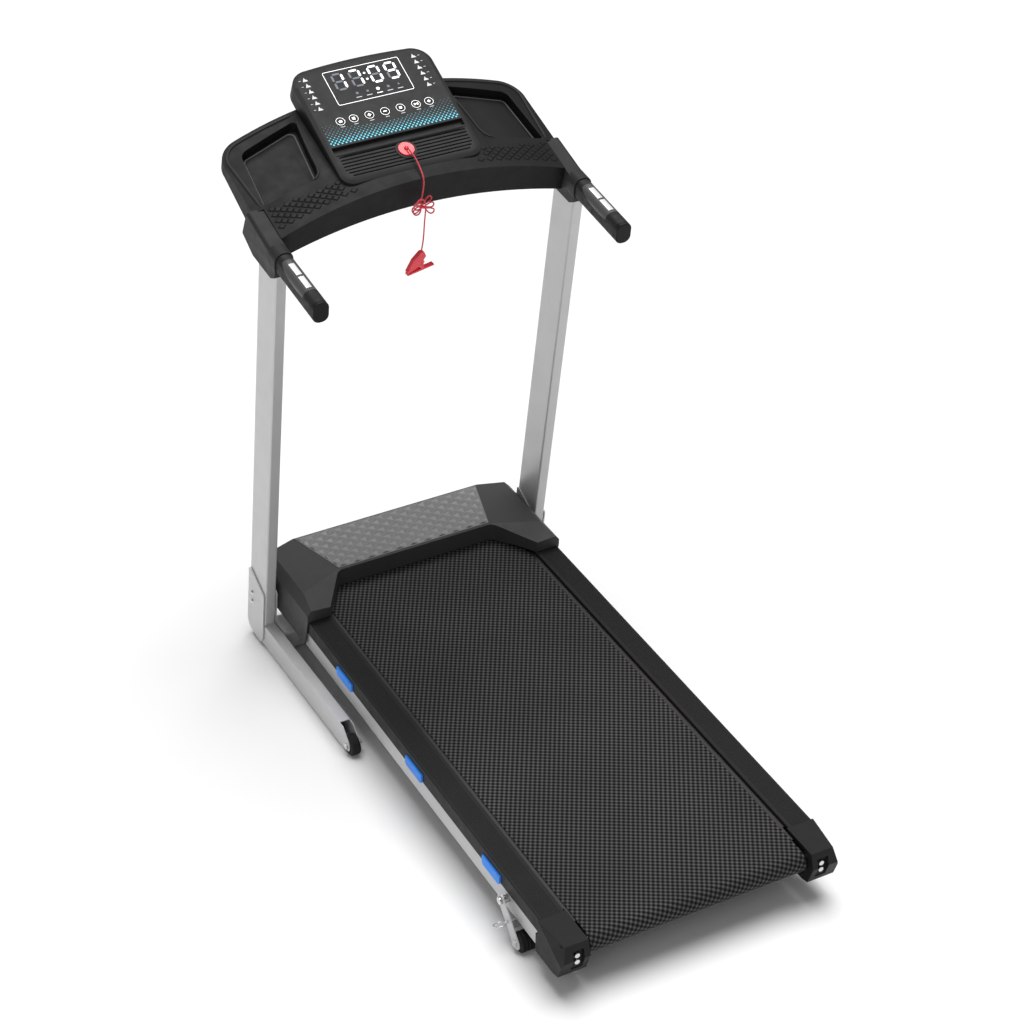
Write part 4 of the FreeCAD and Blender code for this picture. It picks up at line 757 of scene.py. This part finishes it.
def console_rims():
    """The bead inside the slab's edge, the lip beside the head and the bead round each tray's floor, whose lighter
    plastic is a painted highlight.
    """
    inset, side_steps, floor_share = 9.0, 8, 0.9
    near_x, near_v, side_x, side_v = 325 - inset, 62, 336 - inset, 190
    far_x, far_v, middle_v, head_x = 297, 245 - inset, 275 - inset, 150
    straight = [(near_x + (side_x - near_x) * k / side_steps, near_v + (side_v - near_v) * k / side_steps)
                for k in range(side_steps)]
    corner_middle = (326 - inset * 0.8, 226 - inset * 0.6)
    corner = arc_through((side_x, side_v), corner_middle, (far_x, far_v), 10)
    far_edge = arc_through((far_x, far_v), (0, middle_v), (-far_x, far_v), 40)
    outer = straight + corner + [point for point in far_edge[1:] if point[0] > head_x]
    middle = sum((Vector(point) for point in TRAY), Vector((0, 0))) / len(TRAY)
    shrunk = [middle + (Vector(point) - middle) * floor_share for point in TRAY]
    for name, side in (("left", -1), ("right", 1)):
        ridge("slab_bead_" + name, [(side * x, v) for x, v in outer], slab_top, 7.0, 3.4, "console_top",
              material=panel_plastic)
        ridge("tray_lip_" + name, [(side * x, v) for x, v in TRAY_LIP], slab_top, 5.0, 3.0,
              "console_top", material=panel_plastic)
        # the floor bead is in a lighter plastic: a painted highlight along the foot of the tray's wall
        floor_line = rounded_outline([(side * point.x, point.y) for point in shrunk][::side], 11.0, 6)
        ridge("tray_floor_bead_" + name, floor_line, tray_floor, 3.4, 2.4, "console_top", closed=True,
              material=bead_plastic)


def console_pieces():
    softened("console_top", 2.2, segments=3, degrees=40)
    softened("console_bottom", 1.5, degrees=40)
    softened("side_covers", 1.6, panel_plastic, segments=3)
    console_band()
    console_rims()
    softened("grips", 1.2, segments=3)
    softened("handle_end_caps", 0.8)
    softened("pulse_frames", 0.5, frame_plastic)
    softened("pulse_plates", 0.3, plate_metal)


# ---- display head -------------------------------------------------------------------------
MARK_LIFT, MARK_THICK = 0.25, 0.2


def strip(shape, points, lift=MARK_LIFT):
    """A thin flat mark on the head's face from 2-D corners."""
    extruded(shape, points, lambda x, v: head.at(x, v, lift), head.normal * MARK_THICK * MM)


def bar(shape, x, v, width, height, lift=MARK_LIFT):
    strip(shape, [(x - width / 2, v - height / 2), (x + width / 2, v - height / 2),
                  (x + width / 2, v + height / 2), (x - width / 2, v + height / 2)], lift)


def closed_band(shape, rings):
    """Skin a loop of rings whose last one joins the first."""
    loft(shape, rings + rings[:1], closed_ends=False)
    merge(shape, 0.0001)


def flat_ring(shape, x, v, outer, inner, lift):
    """A thin ring lying on the face."""
    rings = []
    for radius, up in ((inner, 0.0), (inner, MARK_THICK), (outer, MARK_THICK), (outer, 0.0)):
        rings.append([head.at(a, b, lift + up) for a, b in circle(x, v, radius, 36)])
    closed_band(shape, rings)


def mark_piece(name, shape, material):
    """A set of marks on the face sheet."""
    add_piece(name, finish_mesh(shape, name), "display_overlay", material)


SEGMENTS = {  # centre (across, up) in digit halves, and whether the segment lies flat
    "a": (0.0, 1.0, True), "b": (1.0, 0.5, False), "c": (1.0, -0.5, False), "d": (0.0, -1.0, True),
    "e": (-1.0, -0.5, False), "f": (-1.0, 0.5, False), "g": (0.0, 0.0, True)}
DIGITS = {"1": "bc", "7": "abc", "0": "abcdef", "9": "abcdfg"}
DIGIT_HALF_W, DIGIT_HALF_H, DIGIT_V, STROKE, SEGMENT_GAP = 10.5, 20.0, 57.0, 4.6, 1.9
CLOCK = (("1", -58.0), ("7", -20.5), ("0", 21.5), ("9", 58.0))


def segment(shape, x, v, flat):
    """One pointed segment of a digit."""
    half_long = (DIGIT_HALF_W if flat else DIGIT_HALF_H / 2) - SEGMENT_GAP
    half = STROKE / 2
    outline = [(-half_long, 0), (-half_long + half, -half), (half_long - half, -half), (half_long, 0),
               (half_long - half, half), (-half_long + half, half)]
    if not flat:
        outline = [(-b, a) for a, b in outline]
    strip(shape, [(x + a, v + b) for a, b in outline])


def clock_digits(lit, dark):
    """The time with its colon; a digit's unlit segments go to the dark shape."""
    for digit, x in CLOCK:
        for key, (across, up, flat) in SEGMENTS.items():
            target = lit if key in DIGITS[digit] else dark
            segment(target, x + across * DIGIT_HALF_W, DIGIT_V + up * DIGIT_HALF_H, flat)
    colon_x, colon_gap, dot = 0.5, 8.0, 2.4
    for v in (DIGIT_V - colon_gap, DIGIT_V + colon_gap):
        strip(lit, circle(colon_x, v, dot, 8))


def mode_icons(lit, dark, printed):
    """A row of plain signs under the digits, the middle one lit."""
    icons, first_x, pitch, icon_v, caption_v = 5, -35.0, 23.0, 20.0, 9.5
    for k in range(icons):
        x = first_x + pitch * k
        is_lit = k == icons // 2
        icon(lit if is_lit else dark, x, icon_v, 3.6, k)
        bar(lit if is_lit else printed, x, caption_v, 12.0, 1.6)


def display_frame(lit):
    """The thin lit line round the display."""
    half, low, high, radius, line, under, over = 84.0, -0.5, 87.0, 4.0, 0.9, 0.1, 0.35

    def outline(inset):
        corners = [(-half + inset, low + inset), (half - inset, low + inset),
                   (half - inset, high - inset), (-half + inset, high - inset)]
        return rounded_outline(corners, radius - inset, 5)

    courses = ((0.0, under), (0.0, over), (line, over), (line, under))
    closed_band(lit, [[head.at(x, v, lift) for x, v in outline(inset)] for inset, lift in courses])


def side_icons(printed):
    """A column of little mountains at each side of the display, each with a caption bar."""
    icons, first_v, pitch, size, caption_out = 6, 80.0, 15.5, 5.6, 11.5
    for x, outward in ((-124.0, -1), (117.0, 1)):
        for k in range(icons):
            v = first_v - pitch * k
            mountain(printed, x, v, size)
            bar(printed, x + outward * caption_out, v - 1.0, 4.5, 1.0)


def display_marks():
    """The lit clock, its dark segments, the frame, and the icons with their captions."""
    lit, dark, printed = bmesh.new(), bmesh.new(), bmesh.new()
    clock_digits(lit, dark)
    mode_icons(lit, dark, printed)
    display_frame(lit)
    side_icons(printed)
    # the dark segments and the printed marks carry a weak painted glow
    mark_piece("display_lit", lit, lit_white)
    mark_piece("display_dark_segments", dark, unlit_segment)
    mark_piece("display_print", printed, printed_white)


def icon(shape, x, v, size, kind):
    """A small plain sign: a pentagon, a square, a disc, a hexagon or a triangle."""
    sides = (5, 4, 24, 6, 3)[kind]
    turn = (0.3, 0.8, 0.0, 0.5, math.pi / 2)[kind]
    strip(shape, circle(x, v, size, sides, turn))


def mountain(shape, x, v, size):
    """Two overlapping peaks."""
    strip(shape, [(x - size, v - size * 0.8), (x + size, v - size * 0.8), (x + size * 0.5, v + 0.1 * size),
                  (x + size * 0.25, v - size * 0.1), (x - size * 0.1, v + size), (x - size * 0.6, v)])


def cyan_dots():
    """Rows of dots that fade towards the buttons and climb at both ends."""
    strengths = (1.0, 0.66, 0.4, 0.2)
    levels, rows, half_columns, step_x, step_v = len(strengths), 12, 16, 9.0, 4.4
    low_v, middle_top, climb, face_half, dots_half = -91.0, -62.0, 32.0, 143.0, 140.0
    largest, shrink = 2.0, 0.09
    groups = [bmesh.new() for _ in strengths]
    for row in range(rows):
        v = low_v + step_v * row
        for column in range(-half_columns, half_columns + 1):
            x = (column + 0.5 * (row % 2)) * step_x
            limit = middle_top + climb * (abs(x) / face_half) ** 2.2
            if abs(x) > dots_half or v > limit:
                continue
            fade = min(levels - 1, int(levels * row / (rows - 2)))
            strip(groups[fade], circle(x, v, largest - shrink * row, 8))
    for k, (shape, strength) in enumerate(zip(groups, strengths)):
        material = glowing(f"cyan_{k}", scaled((0.07, 0.50, 0.64), strength), 0.9 * strength)
        mark_piece(f"cyan_dots_{k}", shape, material)


def glyph(shape, name, x, v, lift):
    """The generic sign on each button."""
    if name == "plus":
        bar(shape, x, v, 7.5, 2.0, lift)
        bar(shape, x, v + 2.4, 2.0, 2.8, lift)
        bar(shape, x, v - 2.4, 2.0, 2.8, lift)
    elif name == "minus":
        bar(shape, x, v, 7.5, 2.2, lift)
    elif name == "stop":
        bar(shape, x, v, 5.4, 5.4, lift)
    elif name == "start":
        strip(shape, [(x - 4, v - 3), (x + 0.8, v), (x - 4, v + 3)], lift)
        bar(shape, x + 2.2, v, 1.2, 5.4, lift)
        bar(shape, x + 4.4, v, 1.2, 5.4, lift)
    elif name == "mode":
        for k in (-1, 0, 1):
            bar(shape, x + 2.6 * k, v - 0.7 * abs(k), 1.5, 6.4 - 1.4 * abs(k), lift)
    elif name == "program":
        for k in (-1, 0, 1):
            bar(shape, x, v + 2.5 * k, 6.4, 1.4, lift)
    else:
        strip(shape, [(x - 3.6, v), (x, v - 3.6), (x + 3.6, v), (x, v + 3.6)], lift)


# (radius, height over the face) from the cap's skirt to its slightly domed top
CAP_PROFILE = ((10.4, -4.0), (10.4, -0.1), (10.1, 0.25), (9.4, 0.4), (5.0, 0.52))


def buttons():
    """Round keys with a printed ring and sign that take the lit material, a painted glow; captions are plain bars.
    """
    captions = bmesh.new()
    for joint in frame["joints"]:
        if not joint["name"].startswith("button_"):
            continue
        name = joint["name"].split("_")[1]
        node = "button_" + name
        x = joint["pos_m"][0] / MM
        shape = bmesh.new()
        rings = []
        for radius, height in CAP_PROFILE:
            rings.append([head.at(a, b, height) for a, b in circle(x, BUTTON_V, radius, 48)])
        loft(shape, rings)
        cap = finish_mesh(shape, node + "_cap", 50)
        add_piece(node + "_cap", cap, node, MATERIALS["gloss_black"], replaces=True)
        sign = bmesh.new()
        flat_ring(sign, x, BUTTON_V, 9.5, 8.8, CAP_PROFILE[-2][1])
        glyph(sign, name, x, BUTTON_V, CAP_PROFILE[-1][1])
        # the printed ring and sign take the glowing white: a painted glow
        add_piece(node + "_sign", finish_mesh(sign, node + "_sign"), node, lit_white)
        bar(captions, x, BUTTON_V - 14.0, 9.0, 1.3)
    mark_piece("button_captions", captions, printed_white)


def head_pieces():
    softened("head_panel", 0.8, panel_plastic, segments=3)
    slot_v, slot_start, slot_step = -118.2, -143.0, 22.0
    slot_edge = [(slot_start + slot_step * k, slot_v) for k in range(14)]
    ridge("slot_ridge", slot_edge, head.at, 7.6, 3.6, "head_panel", material=panel_plastic)
    softened("head_housing", 2.0, segments=3)
    softened("display_overlay", 0.2, film)
    display_marks()
    cyan_dots()
    buttons()


# ---- safety key, leash and clip -----------------------------------------------------------
# control points of the leash in millimetres; ROUTE_SHIFT_Y moves them all to the machine's console
CORD_WIDTH = 3.0
UPPER_ROUTE = ((0.0, 506.0, 1157.0), (2.0, 497.0, 1153.0), (4.0, 485.0, 1147.5), (4.4, 470.0, 1139.5),
               (3.0, 456.5, 1133.0), (1.2, 445.0, 1127.5), (0.2, 436.6, 1118.5), (-1.6, 434.2, 1105.5),
               (-3.0, 435.6, 1092.0), (-3.8, 440.5, 1078.0))
LOWER_ROUTE = ((-3.4, 426.5, 1046.0), (-3.0, 430.6, 1031.0), (-3.2, 433.0, 1012.0), (-4.6, 433.4, 994.0),
               (-7.2, 433.2, 977.0), (-10.5, 433.0, 964.0))
ROUTE_SHIFT_Y = -34.2
HANK_CENTRE = Vector((-3.6, 433.5, 1062.0))


def hank_route():
    """Loose figure-of-eight turns, each swung round from the last and nearer the runner."""
    half_turns, points_each, pass_gap = 7, 10, 3.0
    reach, rise, looser, loosening = 24.0, 7.2, 0.05, 0.35
    first_angle, swing = math.radians(-118.1), math.radians(-123.9)
    count = half_turns * points_each
    points = []
    for k in range(count + 1):
        share = k / count
        turn = math.pi * half_turns * share
        loose = 1.0 + looser * math.sin(loosening * turn)
        flat = Vector((reach * loose * math.sin(turn), rise * math.sin(2 * turn)))
        flat.rotate(Matrix.Rotation(first_angle + swing * share, 2))
        points.append((HANK_CENTRE.x + flat.x, HANK_CENTRE.y + pass_gap * half_turns * (0.5 - share),
                       HANK_CENTRE.z + flat.y))
    return points


def on_machine(point):
    """A route point in metres, where it lies on the machine."""
    return (point[0] * MM, (point[1] + ROUTE_SHIFT_Y) * MM, point[2] * MM)


def nurbs_curve(name, points, width):
    """One open smooth spline with these control points."""
    curve = bpy.data.curves.new(name, "CURVE")
    curve.dimensions = "3D"
    spline = curve.splines.new("NURBS")
    spline.points.add(len(points) - 1)
    for target, point in zip(spline.points, points):
        target.co = (*on_machine(point), 1.0)
    spline.order_u = 3
    spline.use_endpoint_u = True
    curve.bevel_depth = width / 2 * MM
    curve.bevel_resolution = 5
    curve.resolution_u = 10
    curve.use_fill_caps = True
    return curve


def curve_length(curve):
    """The length of a curve's own line, from its points with no bevel."""
    depth = curve.bevel_depth
    curve.bevel_depth = 0.0
    probe = bpy.data.objects.new("probe", curve)
    line = bpy.data.meshes.new_from_object(probe)
    points = [vertex.co for vertex in line.vertices]
    length = sum((points[a] - points[b]).length for a, b in (edge.vertices for edge in line.edges))
    bpy.data.objects.remove(probe)
    bpy.data.meshes.remove(line)
    curve.bevel_depth = depth
    return length


def leash():
    """The leash: from the key over the console's edge, tied up in a small hank, to the clip."""
    route = list(UPPER_ROUTE) + hank_route() + list(LOWER_ROUTE)
    curve = nurbs_curve("leash", route, CORD_WIDTH)
    # measured before the piece is made, because measuring later spoils the piece's bounding box
    length = curve_length(curve)
    piece = scene_object("leash", curve)
    curve.materials.append(MATERIALS["cord_coral"])
    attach(piece, "safety_key")
    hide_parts("key_cord_upper", "key_cord_bundle", "key_cord_lower")


def key_and_clip():
    softened("safety_key", 0.6, segments=3)
    softened("clip_arm", 1.2, segments=3)
    softened("clip_jaw", 1.0, segments=3)


# ---- the rest of the CAD nodes ------------------------------------------------------------
def dress_cad_nodes():
    """Every CAD node gets the material of its slot; some are replaced later."""
    for node, thing in frame["nodes"].items():
        thing.data.materials.clear()
        thing.data.materials.append(MATERIALS[slot_of_node[node]])


# ---- studio -------------------------------------------------------------------------------
def floor():
    """A plain pale floor, much larger than the view."""
    shape = bmesh.new()
    half = 14.0
    corners = ((-half, -half), (half, -half), (half, half), (-half, half))
    shape.faces.new([shape.verts.new((x, y, 0.0)) for x, y in corners])
    mesh = finish_mesh(shape, "studio_floor")
    piece = scene_object("studio_floor", mesh)
    nodes = Nodes("studio_floor")
    soft = nodes.cloud(1.5, 2)
    nodes.set(color=nodes.mix(soft, (0.94, 0.94, 0.94), (0.96, 0.96, 0.96)), roughness=0.7, specular=0.1)
    mesh.materials.append(nodes.material)


def add_lamp(name, kind, place, target, power):
    """A light at a place, turned to its target."""
    light = bpy.data.lights.new(name, kind)
    light.energy = power
    lamp = scene_object(name, light)
    lamp.location = place
    lamp.rotation_euler = (Vector(target) - Vector(place)).to_track_quat("-Z", "Y").to_euler()
    return light


def studio():
    """A wide light almost overhead, a soft one at the near left, and a room that is seen white."""
    floor()
    room_light = 0.22
    world = bpy.data.worlds.new("studio")
    bpy.context.scene.world = world
    world.use_nodes = True
    tree = world.node_tree
    background = tree.nodes["Background"]
    background.inputs["Color"].default_value = (1.0, 1.0, 1.0, 1.0)
    ray = tree.nodes.new("ShaderNodeLightPath")
    strength = tree.nodes.new("ShaderNodeMapRange")
    strength.inputs["To Min"].default_value = room_light
    tree.links.new(ray.outputs["Is Camera Ray"], strength.inputs["Value"])
    tree.links.new(strength.outputs["Result"], background.inputs["Strength"])
    middle = (0.0, 0.0, 0.5)
    overhead = add_lamp("overhead_light", "SUN", (0.45, 0.45, 3.0), middle, 2.9)
    overhead.angle = math.radians(48)
    left = add_lamp("left_light", "AREA", (-2.7, -2.7, 2.4), middle, 20)
    left.shape = "RECTANGLE"
    left.size, left.size_y = 2.2, 2.6
    bpy.context.scene.view_settings.view_transform = "Standard"


CAMERA_PLACE = (-2.1077, -3.8773, 3.5701)
CAMERA_AZIMUTH, CAMERA_ELEVATION = math.radians(-28.3), math.radians(34.2)
CAMERA_LENS, SENSOR_WIDTH = 95.33, 36.0


def camera():
    data = bpy.data.cameras.new("camera")
    data.lens = CAMERA_LENS
    data.sensor_width = SENSOR_WIDTH
    viewer = scene_object("camera", data)
    viewer.location = CAMERA_PLACE
    viewer.rotation_euler = (math.pi / 2 - CAMERA_ELEVATION, 0.0, CAMERA_AZIMUTH)
    bpy.context.scene.camera = viewer


camera()
studio()
dress_cad_nodes()
leash()
key_and_clip()
deck_pieces()
base_pieces()
wheels()
console_pieces()
head_pieces()
